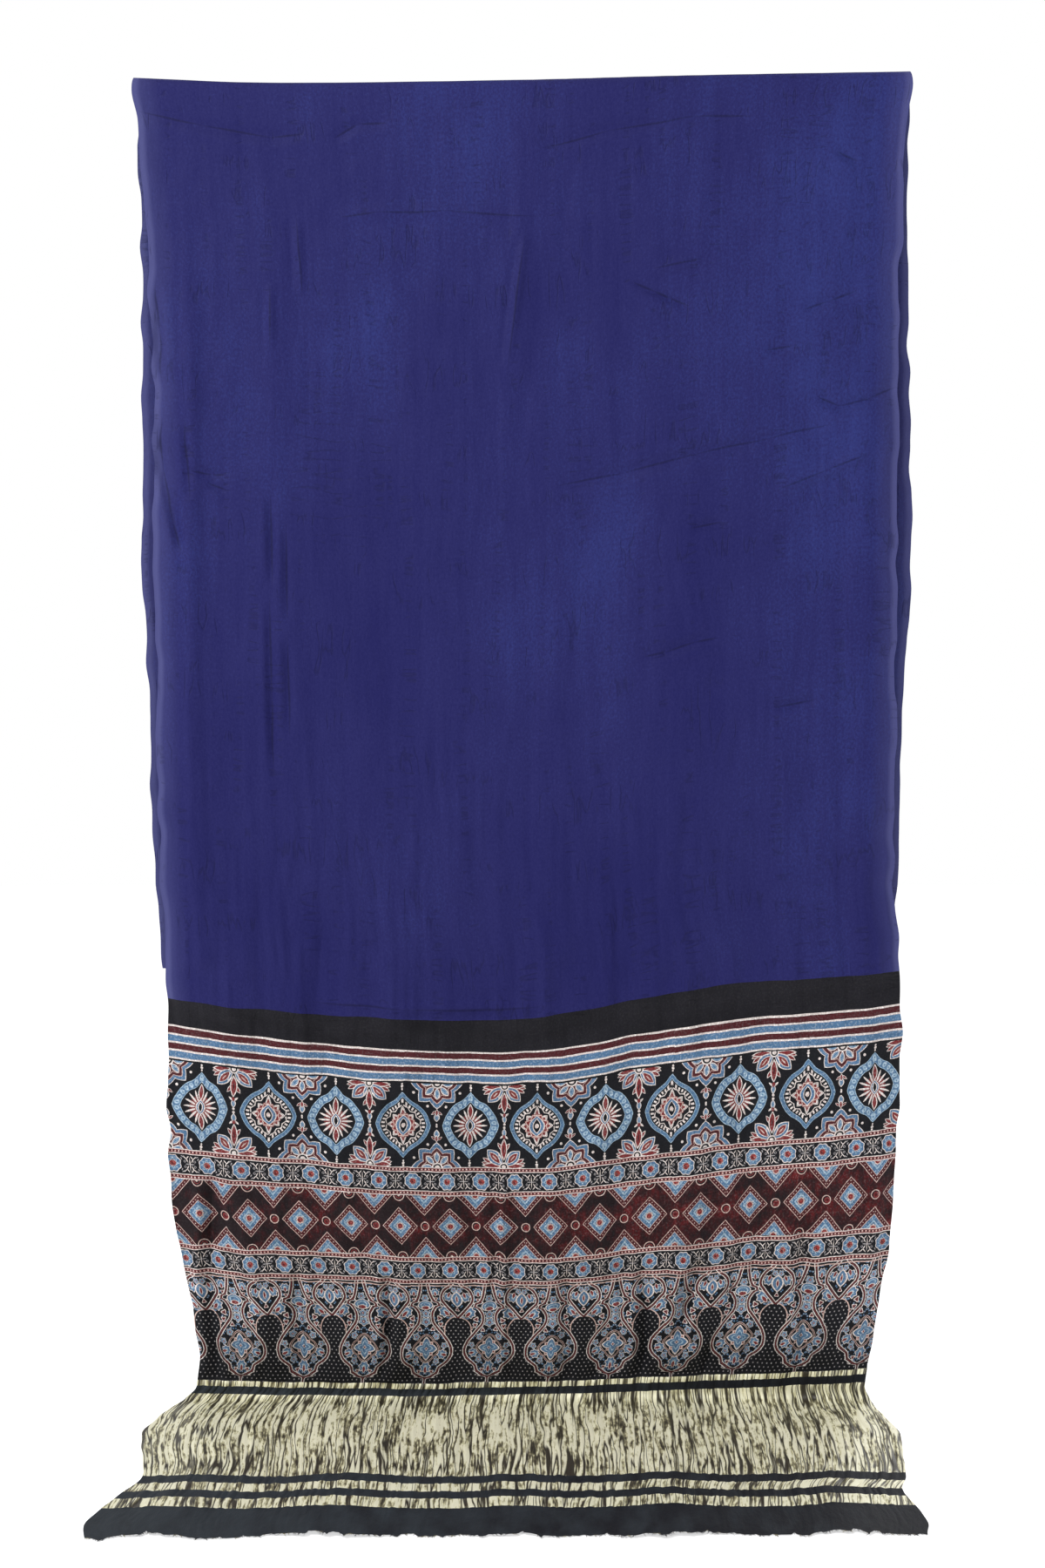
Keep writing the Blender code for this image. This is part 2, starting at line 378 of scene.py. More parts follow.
SCROLLS = [
    ("leaf", (0, 0), (10.5, 0.6), 90, "resist"),
    ("leaf", (3.0, 0), (4.2, 0.7), 0, "chalk"),
    ("leaf", (4.2, 5.4), (4.0, 0.7), 62, "resist"),
    ("oval", (7.4, 3.8), (1.8, 1.7), 0, [(0, "black"), (0.6, "chalk")]),
    ("leaf", (3.2, 9.6), (3.0, 0.7), -50, "resist"),
    ("leaf", (7.6, 9.4), (3.2, 0.7), 48, "resist"),
    ("leaf", (10.6, 10.6), (3.0, 0.7), 26, "chalk"),
    ("leaf", (12.6, 7.6), (2.2, 0.8), 62, "chalk"),
]
ROSETTE = [
    ("flower", (0, 0), (13.4, 8, 0.13), 22.5, [(0, "indigo"), (0.90, "resist")]),
    ("flower", (0, 0), (9.2, 8, 0.42), 0, [(0, "indigo"), (0.78, "pale_indigo")]),
    ("flower", (0, 0), (5.6, 8, 0.20), 22.5, [(0, "plum"), (0.30, "madder"), (0.86, "rose")]),
    ("oval", (2.0, -0.8), (2.6, 2.0), 20, "scarlet"),
]
DIAMOND_RINGS = [
    (0, "indigo"),
    (0.30, "pale_indigo"),
    (0.40, "indigo"),
    (0.64, "rose"),
    (0.68, "maroon"),
    (0.95, "rose"),
]
# A diamond's half sizes, and from its middle square out to its side and to its frame's dots.
DIAMOND = (27.0, 28.5)
HALF_DIAMOND = (28.0, 31.0)
DIAMOND_REACH = 19.6
FRAME_DOTS = 16.1
FRAME_DOT_PITCH = 5.2
FRAME_DOT = (0.75, 0.75)
# Its middle is flecked out to this share. Flecks are 2.4 mm apart, with a radius as a share of that.
FLECKED_SHARE = 0.62
FLECK_SCALE = (0.42, 0.42, 1.0)
FLECK_RADIUS = 0.34
DIAMOND_HEART = [
    ("flower", (0, 0), (6.4, 8, 0.25), 0, [(0, "plum_black"), (0.82, "rose")]),
    ("oval", (0, 0), (4.8, 4.8), 0, [(0, "scarlet"), (0.38, "madder"), (0.80, "rose")]),
]
MOON = [
    ("oval", (0, 0), (6.9, 6.9), 0, [(0, "plum_black"), (0.80, "rose")]),
    ("oval", (0.9, 0.6), (4.4, 4.4), 0, [(0, "deep_madder"), (0.55, "madder")]),
]
EDGE_RINGS = [(0, "rose"), (0.24, "plum_black"), (0.44, "madder"), (0.6, "plum_black"), (0.84, "rose")]
EDGE_RING = [
    ("oval", (0, 0), (8.6, 8.6), 0, EDGE_RINGS),
]

# Rings of the palmettes' small flowers, from the middle outwards.
BLUE_PETALS = [(0, "indigo"), (0.48, "pale_indigo"), (0.66, "indigo"), (0.86, "resist")]
BLUE_CUP = [(0, "indigo"), (0.50, "pale_indigo"), (0.66, "indigo"), (0.88, "resist")]
BLUE_HEART = [(0, "madder"), (0.16, "resist"), (0.26, "indigo"), (0.74, "resist")]
BLACK_PETALS = [(0, "black"), (0.86, "rose"), (0.90, "plum"), (0.96, "rose")]
CROSS_PETALS = [
    (0, "madder"),
    (0.10, "resist"),
    (0.17, "indigo"),
    (0.48, "pale_indigo"),
    (0.60, "indigo"),
    (0.87, "resist"),
]

# Small flowers of the palmettes, one unit across from the middle to the edge.
BLOOM = [
    ("flower", (0, 0), (1.0, 5, 0.34), 0, BLUE_PETALS),
    ("oval", (0, 0.05), (0.28, 0.28), 0, [(0, "resist"), (0.4, "madder")]),
]
FAN = [
    ("flower", (0, 0), (1.0, 7, 0.28), 0, [(0, "pale_indigo"), (0.40, "indigo"), (0.84, "resist")]),
    ("leaf", (0, 0.42), (0.62, 0.30), 90, [(0, "madder"), (0.74, "resist")]),
]
CUP = [
    ("oval", (0, 0), (1.0, 0.62), 0, BLUE_CUP),
    ("oval", (0, 0.34), (0.56, 0.28), 0, [(0, "madder"), (0.78, "resist")]),
]
SPRIG = [("flower", (0, 0), (1.0, 3, 0.5), 0, [(0, "black"), (0.26, "madder"), (0.66, "resist")])]
LEAF_CELL = [
    ("leaf", (0, 0), (1.0, 0.74), 90, BLUE_HEART),
    ("leaf", (0.34, 0.06), (0.42, 0.16), 66, [(0, "pale_indigo"), (0.6, "resist")]),
]
QUATREFOIL = [("flower", (0, 0), (1.0, 4, 0.24), 0, BLACK_PETALS)]
CROSS = [
    ("flower", (0, 0), (0.80, 4, 0.50), 45, [(0, "madder"), (0.80, "rose")]),
    ("flower", (0, 0), (1.0, 4, 0.52), 0, CROSS_PETALS),
]
POSIES = [
    # flower, middle right of a palmette's axis and below the band's top, size, turn
    (BLOOM, (0, 24), 6.8, 0),
    (CUP, (0, 37), 12.5, 0),
    (BLOOM, (0, 51), 7.2, 180),
    (BLOOM, (0, 64), 8.8, 0),
    (SPRIG, (10.5, 76), 4.6, 60),
    (SPRIG, (7.0, 15), 3.0, 0),
    (FAN, (17.0, 14), 7.4, 0),
    (SPRIG, (17.5, 26), 3.6, 0),
    (FAN, (37.5, 22), 8.6, 200),
    (BLOOM, (46.5, 11), 5.0, 0),
    (LEAF_CELL, (51, 26), 13.0, 0),
    (SPRIG, (51, 43), 4.0, 180),
    (FAN, (31, 47), 10.4, -45),
    (BLOOM, (42.5, 56.5), 4.4, 0),
    (SPRIG, (21.5, 58), 5.4, 30),
    (SPRIG, (23.5, 68), 5.0, 0),
    (SPRIG, (29.0, 73), 3.6, 0),
    (QUATREFOIL, (0, 106), 23.0, 0),
    (CROSS, (0, 106), 18.5, 0),
    (BLOOM, (16, 87), 6.2, 20),
    (BLOOM, (29, 101), 5.6, 0),
    (FAN, (26, 114), 8.4, -70),
    (BLOOM, (17, 125), 5.8, 0),
    (FAN, (0, 135), 9.6, 0),
    (SPRIG, (10.5, 141), 4.0, 0),
]

# Half the width of the ogive between two palmettes, by its depth below the band's top.
OGIVE = [
    (0, 7), (4, 11), (11, 20), (17, 23.5), (24, 25), (30, 23.5), (34, 20.5), (40, 15.5), (48, 8.5), (57, 0),
]
# Half the width of a palmette: its stems, shoulders, neck and bulb.
COLUMN = [
    (0, 5.5), (11, 7.4), (23, 10.7), (30, 15), (34, 21.5), (36, 22), (39, 17.5), (45, 13.2), (52, 10.4),
    (58, 10.2), (65, 12), (72, 16.7), (81, 24.5), (90, 31.7), (98, 37), (107, 40.4), (114, 40.6), (121, 38),
    (127, 32.5), (132, 25.5), (136, 21.5), (141, 19.8), (146, 13.5), (150, 6), (153, 0), (160, 0),
]
# The three lines side by side round ogives and palmettes, by half width, the widest first.
TRIPLE_LINE = [(2.9, "resist"), (1.6, "plum_black"), (0.5, "madder")]

# The eye is level, and stands this far from the front fall and above the floor.
CAMERA_DISTANCE = 3.0
CAMERA_HEIGHT = 0.874
CAMERA_LENS = 48.54
SENSOR_WIDTH = 36.0
# The white surround is full white to the eye, and gives this share of that as light.
AMBIENT = 0.55
FLOOR_GAP = 0.0005
LIGHTS = [
    # name, place, aim, size, power
    ("key", (-2.9, -2.6, 2.5), (0.0, 0.0, -1.1), 1.4, 150.0),
    ("back", (2.5, 4.0, 1.0), (0.0, 0.0, -0.9), 2.5, 60.0),
]


def smooth(start, end, value):
    """0 before start and 1 past end, eased between them."""
    share = np.clip((value - start) / (end - start), 0.0, 1.0)
    return share * share * (3.0 - 2.0 * share)


def curve(places, values, place):
    """A smooth curve through values at these places. The values may differ from point to point."""
    places, last = np.array(places), len(places) - 1
    values = np.broadcast_to(np.reshape(values, (last + 1, -1)), (last + 1, len(place)))
    point = np.arange(len(place))
    row = np.clip(np.searchsorted(places, place, side="right") - 1, 0, last - 1)
    before, after = np.maximum(row - 1, 0), np.minimum(row + 2, last)
    y0, y1 = values[row, point], values[row + 1, point]
    span = places[row + 1] - places[row]
    slope_0 = (y1 - values[before, point]) / (places[row + 1] - places[before])
    slope_1 = (values[after, point] - y0) / (places[after] - places[row])
    t = np.clip((place - places[row]) / span, 0.0, 1.0)
    return (
        (1 + 2 * t) * (1 - t) ** 2 * y0
        + t * (1 - t) ** 2 * span * slope_0
        + t * t * (3 - 2 * t) * y1
        + t * t * (t - 1) * span * slope_1
    )


def read(table, column, place):
    """A table's column at each place."""
    return curve([row[0] for row in table], [row[column] for row in table], place)


def lift(across, weft):
    """How far each weft line is drawn back, at each place across the width."""
    return curve([0, 0.25, 0.5, 0.75, 1], [read(LIFTS, 1 + i, weft) for i in range(5)], across)


def path(place):
    """Depth and height on the hanging path, and the way it faces there."""
    quarter_arc = FOLD_RADIUS * QUARTER
    straight = -FLOOR - FOLD_RADIUS - BEND_RADIUS
    bend = place - quarter_arc - straight
    fold_turn = np.clip(place / FOLD_RADIUS, -QUARTER, QUARTER)
    depth = -FOLD_RADIUS * np.sin(fold_turn)
    height = FOLD_RADIUS * (np.cos(fold_turn) - 1)
    height -= np.clip(np.abs(place) - quarter_arc, 0, np.where(place > 0, straight, np.inf))
    turn = np.clip(bend / BEND_RADIUS, 0, QUARTER)
    run = np.maximum(bend - QUARTER * BEND_RADIUS, 0)
    depth -= BEND_RADIUS * (1 - np.cos(turn)) + run
    height -= BEND_RADIUS * np.sin(turn)
    return depth, height, fold_turn - turn


def folds(across, place, width):
    """How far the soft folds stand out of the path."""
    out = np.zeros_like(across)
    for middle, half_width, rise, start, full, end in FOLDS:
        side = 1.0 if full > 0 else -1.0
        near, far, most = side * start, side * end, side * full
        along = smooth(near, most, side * place) * (1 - smooth(far - 0.05, far, side * place))
        out += rise * along * np.exp(-(((across - middle) * width / half_width) ** 2))
    return out


def drift(x, y, wide, tall, seed):
    """Smooth random values between -1 and 1, over cells of this width and height."""
    columns, rows = LATTICE
    lattice = np.random.default_rng(seed).uniform(-1, 1, LATTICE)
    i, j = np.floor(x / wide).astype(int), np.floor(y / tall).astype(int)
    s, t = smooth(0, 1, x / wide - i), smooth(0, 1, y / tall - j)
    near, far = (
        lattice[i % columns, row % rows] * (1 - s) + lattice[(i + 1) % columns, row % rows] * s
        for row in (j, j + 1)
    )
    return near * (1 - t) + far * t


def creases(x, drop):
    """How far the listed creases stand out, with a low lip below each."""
    out = np.zeros_like(x)
    for points, half_width, rise in CREASES:
        nearest = np.full_like(x, 1.0)
        share = np.zeros_like(x)
        below = np.zeros_like(x)
        steps = len(points) - 1
        for i, ((x0, d0), (x1, d1)) in enumerate(zip(points, points[1:])):
            length = math.hypot(x1 - x0, d1 - d0)
            along = ((x - x0) * (x1 - x0) + (drop - d0) * (d1 - d0)) / length**2
            held = np.clip(along, 0, 1)
            side = ((drop - d0) * (x1 - x0) - (x - x0) * (d1 - d0)) / length
            gap = np.hypot(x - x0 - held * (x1 - x0), drop - d0 - held * (d1 - d0))
            closer = gap < nearest
            nearest = np.where(closer, gap, nearest)
            share = np.where(closer, (i + held) / steps, share)
            below = np.where(closer, side, below)
        ends = np.sqrt(np.clip(4 * share * (1 - share), 0, 1)) * 0.9 + 0.1
        body = np.exp(-((nearest / half_width) ** 2))
        lip = np.exp(-(((nearest - 1.8 * half_width) / half_width) ** 2)) * (below > 0)
        out += CREASE_DEPTH * rise * ends * (body - 0.45 * lip)
    return out


def wrinkles(x, weft, place):
    """The fine wrinkles of washed silk, mostly down the cloth and deeper towards the floor.

    Each kind has its depth near the rail, and how much deeper it gets low down, in metres.
    """
    lower = smooth(0.75, 1.55, place)
    sway = x + 0.012 * drift(x, weft, 0.08, 0.12, 3)
    down = drift(sway, weft, 0.014, 0.11, 5) + 0.6 * drift(sway, weft, 0.008, 0.06, 6)
    broad = drift(sway, weft, 0.035, 0.22, 7)
    level = drift(x + 0.3 * weft, weft, 0.10, 0.016, 8)
    puckers = drift(x, weft, 0.022, 0.020, 9)
    return (
        (0.0005 + 0.0016 * lower) * down
        + (0.0012 + 0.0024 * lower) * broad
        + 0.0005 * level
        + (0.0006 + 0.0006 * lower) * puckers
    )


def crush(x, weft, place):
    """The crushed creases of the tissue: sharp valleys between round ridges, down the cloth."""
    sway = x + 0.005 * drift(x, weft, 0.03, 0.09, 11)
    ridges = np.abs(drift(sway, weft, 0.0095, 0.24, 13)) ** 0.8
    small = np.abs(drift(sway, weft, 0.0048, 0.12, 14)) ** 0.9
    on_floor = smooth(1.87, 1.93, place)
    calm = 1 - 0.75 * smooth(BANDS_END - 0.004, BANDS_END + 0.006, weft)
    return calm * (1 - 0.35 * on_floor) * (0.0030 * ridges + 0.0006 * small)


def hang(across, weft):
    """Hangs the flat cloth: places in space for shares of the width and weft lines."""
    woven = across * CLOTH_WIDTH
    place = weft - lift(across, weft) + 0.0016 * drift(woven, weft, 0.05, 0.09, 18)
    held = np.minimum(place, SPREAD_START)
    left, right = read(EDGES, 1, held), read(EDGES, 2, held)
    depth, height, facing = path(place)
    x = left + (right - left) * across + 0.0014 * drift(woven, place, 0.045, 0.06, 16)
    x += (read(EDGES, 1, place) - left) * (1 - across) ** 3
    x += (read(EDGES, 2, place) - right) * across**3
    # The selvedges waver.
    x += 0.0035 * (2 * across - 1) ** 8 * drift(woven, place, 0.5, 0.035, 17)
    out = folds(across, place, right - left)
    front = smooth(0.02, 0.06, place) * (1 - smooth(1.82, 1.87, place))
    out += front * creases(x, -height)
    loose = smooth(0.03, 0.12, np.abs(place))
    tissue = smooth(PRINT_END - 0.004, PRINT_END + 0.003, weft)
    out += loose * (1 - tissue) * wrinkles(woven, weft, place)
    out += tissue * crush(woven, weft, place)
    near_rail = 1 - smooth(0.0, 0.4, np.abs(place))
    height = height + np.cos(facing) * out + read(RAIL_LINE, 1, across) * near_rail
    depth = depth - np.sin(facing) * out
    lowest = FLOOR + THICKNESS / 2
    return np.stack([x, depth, np.maximum(height, lowest)], axis=1)


def new_piece(name, bm):
    """Makes an object of a modelled shape and puts it in the scene."""
    mesh = bpy.data.meshes.new(name)
    bm.to_mesh(mesh)
    bm.free()
    piece = bpy.data.objects.new(name, mesh)
    bpy.context.scene.collection.objects.link(piece)
    return piece


def woven_sheet(name, lines, columns, end_edge=None):
    """A length of the cloth, cut flat with its weave on the UV map, then hung on the folds.

    Each line is where a band starts, with its material and its rows. The last is where the piece ends.
    """
    bands, end = lines[:-1], lines[-1][0]
    rows = [band[2] for band in bands]
    shares = np.concatenate([[0], np.cumsum(rows)]) / sum(rows)
    starts = [band[0] for band in bands] + [end]
    bm = bmesh.new()
    bmesh.ops.create_grid(bm, x_segments=columns, y_segments=sum(rows), size=0.5)
    piece = new_piece(name, bm)
    mesh = piece.data
    centres = np.empty(len(mesh.polygons) * 3)
    mesh.polygons.foreach_get("center", centres)
    band_of_face = np.searchsorted(shares, 0.5 - centres[1::3], side="right") - 1
    flat = np.empty(len(mesh.vertices) * 3)
    mesh.vertices.foreach_get("co", flat)
    across, down = flat[0::3] + 0.5, 0.5 - flat[1::3]
    weft = np.interp(down, shares, starts)
    if end_edge:
        weft = weft + end_edge(across, weft)
    mesh.vertices.foreach_set("co", hang(across, weft).ravel())
    corners = np.empty(len(mesh.loops), dtype=np.int32)
    mesh.loops.foreach_get("vertex_index", corners)
    weave = np.stack([across * CLOTH_WIDTH, weft], axis=1)[corners]
    mesh.uv_layers.new(name=WEAVE).data.foreach_set("uv", weave.ravel())
    for _, material, _ in bands:
        mesh.materials.append(material)
    mesh.polygons.foreach_set("material_index", band_of_face.astype(np.int32))
    mesh.shade_smooth()
    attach(piece, "root")
    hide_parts("cloth")
    return piece


def linear(colour):
    """An sRGB hex colour as the linear RGBA that shaders take."""
    parts = [int(colour[i : i + 2], 16) / 255 for i in (1, 3, 5)]
    return (*[c / 12.92 if c <= 0.04045 else ((c + 0.055) / 1.055) ** 2.4 for c in parts], 1.0)


def add(tree, kind, *values, stops=None, steps=None, points=None, named=None, **settings):
    """Adds a node and returns its first live output. An operation may follow the kind after a point.

    Stops and steps fill a colour ramp, smooth or stepped, and points fill a curve.
    """
    kind, _, operation = kind.partition(".")
    node = tree.nodes.new(f"ShaderNode{kind}")
    if operation:
        node.operation = operation
    for name, value in settings.items():
        setattr(node, name, value)
    live = [socket for socket in node.inputs if socket.enabled]
    pairs = list(zip(live, values)) + [(node.inputs[k], v) for k, v in (named or {}).items()]
    for socket, value in pairs:
        if isinstance(value, bpy.types.NodeSocket):
            tree.links.new(value, socket)
        elif value is not None:
            socket.default_value = value
    if stops or steps:
        ramp = node.color_ramp
        ramp.interpolation = "LINEAR" if stops else "CONSTANT"
        ramp.elements.remove(ramp.elements[1])
        (ramp.elements[0].position, ramp.elements[0].color), *others = stops or steps
        for position, colour in others:
            ramp.elements.new(position).color = colour
    if points:
        course = node.mapping.curves[0]
        for _ in points[2:]:
            course.points.new(1.0, 1.0)
        for point, place in zip(course.points, points):
            point.location = place
        node.mapping.update()
    return next((socket for socket in node.outputs if socket.enabled), None)


def new_material(name):
    """A material with a Principled shader, and the woven place in metres."""
    material = bpy.data.materials.new(name)
    material.use_nodes = True
    tree = material.node_tree
    shader = tree.nodes["Principled BSDF"]
    weave = add(tree, "UVMap", uv_map=WEAVE)
    return material, partial(add, tree), shader, weave


def woven_place(x, drop):
    """The woven place of a point on the front, from metres right of the middle and below the fold."""
    place = np.array([drop + FOLD_RADIUS * (QUARTER - 1)])
    left, right = read(EDGES, 1, place), read(EDGES, 2, place)
    across = (x - left) / (right - left)
    weft = place
    for _ in range(3):
        weft = place + lift(across, weft)
    return across[0] * CLOTH_WIDTH, weft[0]


def small_creases(n, weave):
    """The small sharp lines of washed, folded silk: 0 along them, 1 between.

    They are 20 to 30 mm apart: one set runs down the cloth and one across it.
    """
    spared = 1.0
    for across, along in ((44.0, 9.0), (7.0, 38.0)):
        wander = n("TexNoise", n("VectorMath.MULTIPLY", weave, (across, along, 1.0)), 1.0, 2.0, 0.5)
        line = n("Math.MULTIPLY", n("Math.ABSOLUTE", n("Math.SUBTRACT", wander, 0.5)), 26.0)
        patches = n("TexNoise", n("VectorMath.MULTIPLY", weave, (along, 0.4 * across, 1.0)), 1.0, 2.0, 0.5)
        line = n("Math.ADD", line, n("MapRange", patches, 0.54, 0.62, 1.0, 0.25))
        spared = n("Math.MINIMUM", line, spared)
    return spared


def main_creases(n, weave, start, end):
    """The sharp lines of the listed creases, between two weft lines: 0 along them, 1 between."""
    spared = 1.0
    for points, _, _ in CREASES:
        ends = [woven_place(*point) for point in points]
        for (u0, v0), (u1, v1) in zip(ends, ends[1:]):
            if not start < (v0 + v1) / 2 < end:
                continue
            middle = ((u0 + u1) / 2, (v0 + v1) / 2, 0.0)
            turn = (0.0, 0.0, math.atan2(v1 - v0, u1 - u0))
            # Each stretch reaches past its ends, so that it meets the next one.
            size = (0.62 * math.hypot(u1 - u0, v1 - v0), CREASE_LINE, 1.0)
            place = n("Mapping", weave, middle, turn, size, vector_type="TEXTURE")
            x = n("SeparateXYZ", n("VectorMath.ABSOLUTE", place))
            spared = n("Math.MINIMUM", n("Math.MULTIPLY_ADD", x, x, x.node.outputs["Y"]), spared)
    return spared


def finish_silk(n, shader, weave, colour, creased=None, depth=0.4):
    """Joins the colour to the shader, with the surface of modal silk, woven plain and then washed.

    Washing and the dyer's mud take the gloss off silk, so it is nearly matt, with a trace of sheen
    and a fine crinkle 8 mm wide and 26 mm long.
    """
    # Its threads are 0.3 mm apart, too fine to show. They are drawn 0.7 mm apart.
    threads = n("TexNoise", n("VectorMath.MULTIPLY", weave, (1400.0, 420.0, 1.0)), 1.0, 2.0, 0.5)
    crinkle = n("TexNoise", n("VectorMath.MULTIPLY", weave, (120.0, 38.0, 1.0)), 1.0, 4.0, 0.6)
    height = n("Math.MULTIPLY_ADD", threads, 0.16, crinkle)
    if creased:
        height = n("Math.ADD", creased, height)
    bump = n("Bump", depth, 0.0024, named={"Height": height})
    tree = shader.id_data
    tree.links.new(colour, shader.inputs["Base Color"])
    tree.links.new(bump, shader.inputs["Normal"])
    shader.inputs["Roughness"].default_value = 0.68
    shader.inputs["Sheen Weight"].default_value = 0.02
    shader.inputs["Sheen Roughness"].default_value = 0.45
    shader.inputs["Specular IOR Level"].default_value = 0.16


def indigo_silk(dyes):
    """Modal silk dyed plain in the indigo vat, over lac.

    Dipping leaves it cloudy over 300 to 500 mm, with faint streaks 13 mm wide down the warp.
    """
    material, n, shader, weave = new_material("indigo_silk")
    clouds = n("TexNoise", n("VectorMath.MULTIPLY", weave, (3.4, 2.0, 1.0)), 1.0, 4.0, 0.6)
    streaks = n("TexNoise", n("VectorMath.MULTIPLY", weave, (75.0, 4.0, 1.0)), 1.0, 3.0, 0.6)
    # Uneven threads take the dye unevenly. The real mottle is under 1 mm, and this one is 3 to 4 mm.
    grain = n("TexNoise", n("VectorMath.MULTIPLY", weave, (300.0, 220.0, 1.0)), 1.0, 2.0, 0.7)
    u = n("SeparateXYZ", weave)
    # It is a little darker low down, and paler to the right.
    lower = n("MapRange", u.node.outputs["Y"], 0.4, 1.25, 0.0, -0.06)
    lower = n("Math.ADD", lower, n("MapRange", u, 0.75, 1.0, 0.0, 0.05))
    tone = n("Math.MULTIPLY_ADD", clouds, 0.50, n("Math.MULTIPLY_ADD", streaks, 0.12, lower))
    tone = n("Math.MULTIPLY_ADD", grain, 0.38, tone)
    stops = [(0.36, dyes.vat_deep), (0.5, dyes.vat), (0.66, dyes.vat_pale)]
    colour = n("ValToRGB", tone, stops=stops)
    # Painted sheen makes the selvedges greyer, and painted shade darkens each crease along a line.
    from_selvedge = n("Math.MINIMUM", u, n("Math.SUBTRACT", CLOTH_WIDTH, u))
    selvedge_sheen = n("MapRange", from_selvedge, 0.004, 0.038, 0.35, 0.0)
    selvedge_sheen = n("Math.ADD", selvedge_sheen, n("MapRange", from_selvedge, 0.006, 0.012, 0.45, 0.0))
    colour = n("Mix", selvedge_sheen, colour, dyes.vat_sheen, data_type="RGBA")
    # Painted shade darkens the colour along the small creases and the listed main creases.
    creased = small_creases(n, weave)
    value = n("MapRange", creased, 0.0, 1.0, 0.72, 1.0)
    main = main_creases(n, weave, 0.0, BLUE_END)
    value = n("Math.MULTIPLY", value, n("MapRange", main, 0.0, 1.0, 0.55, 1.0))
    finish_silk(n, shader, weave, n("HueSaturation", 0.5, 1.0, value, 1.0, colour), creased)
    return material


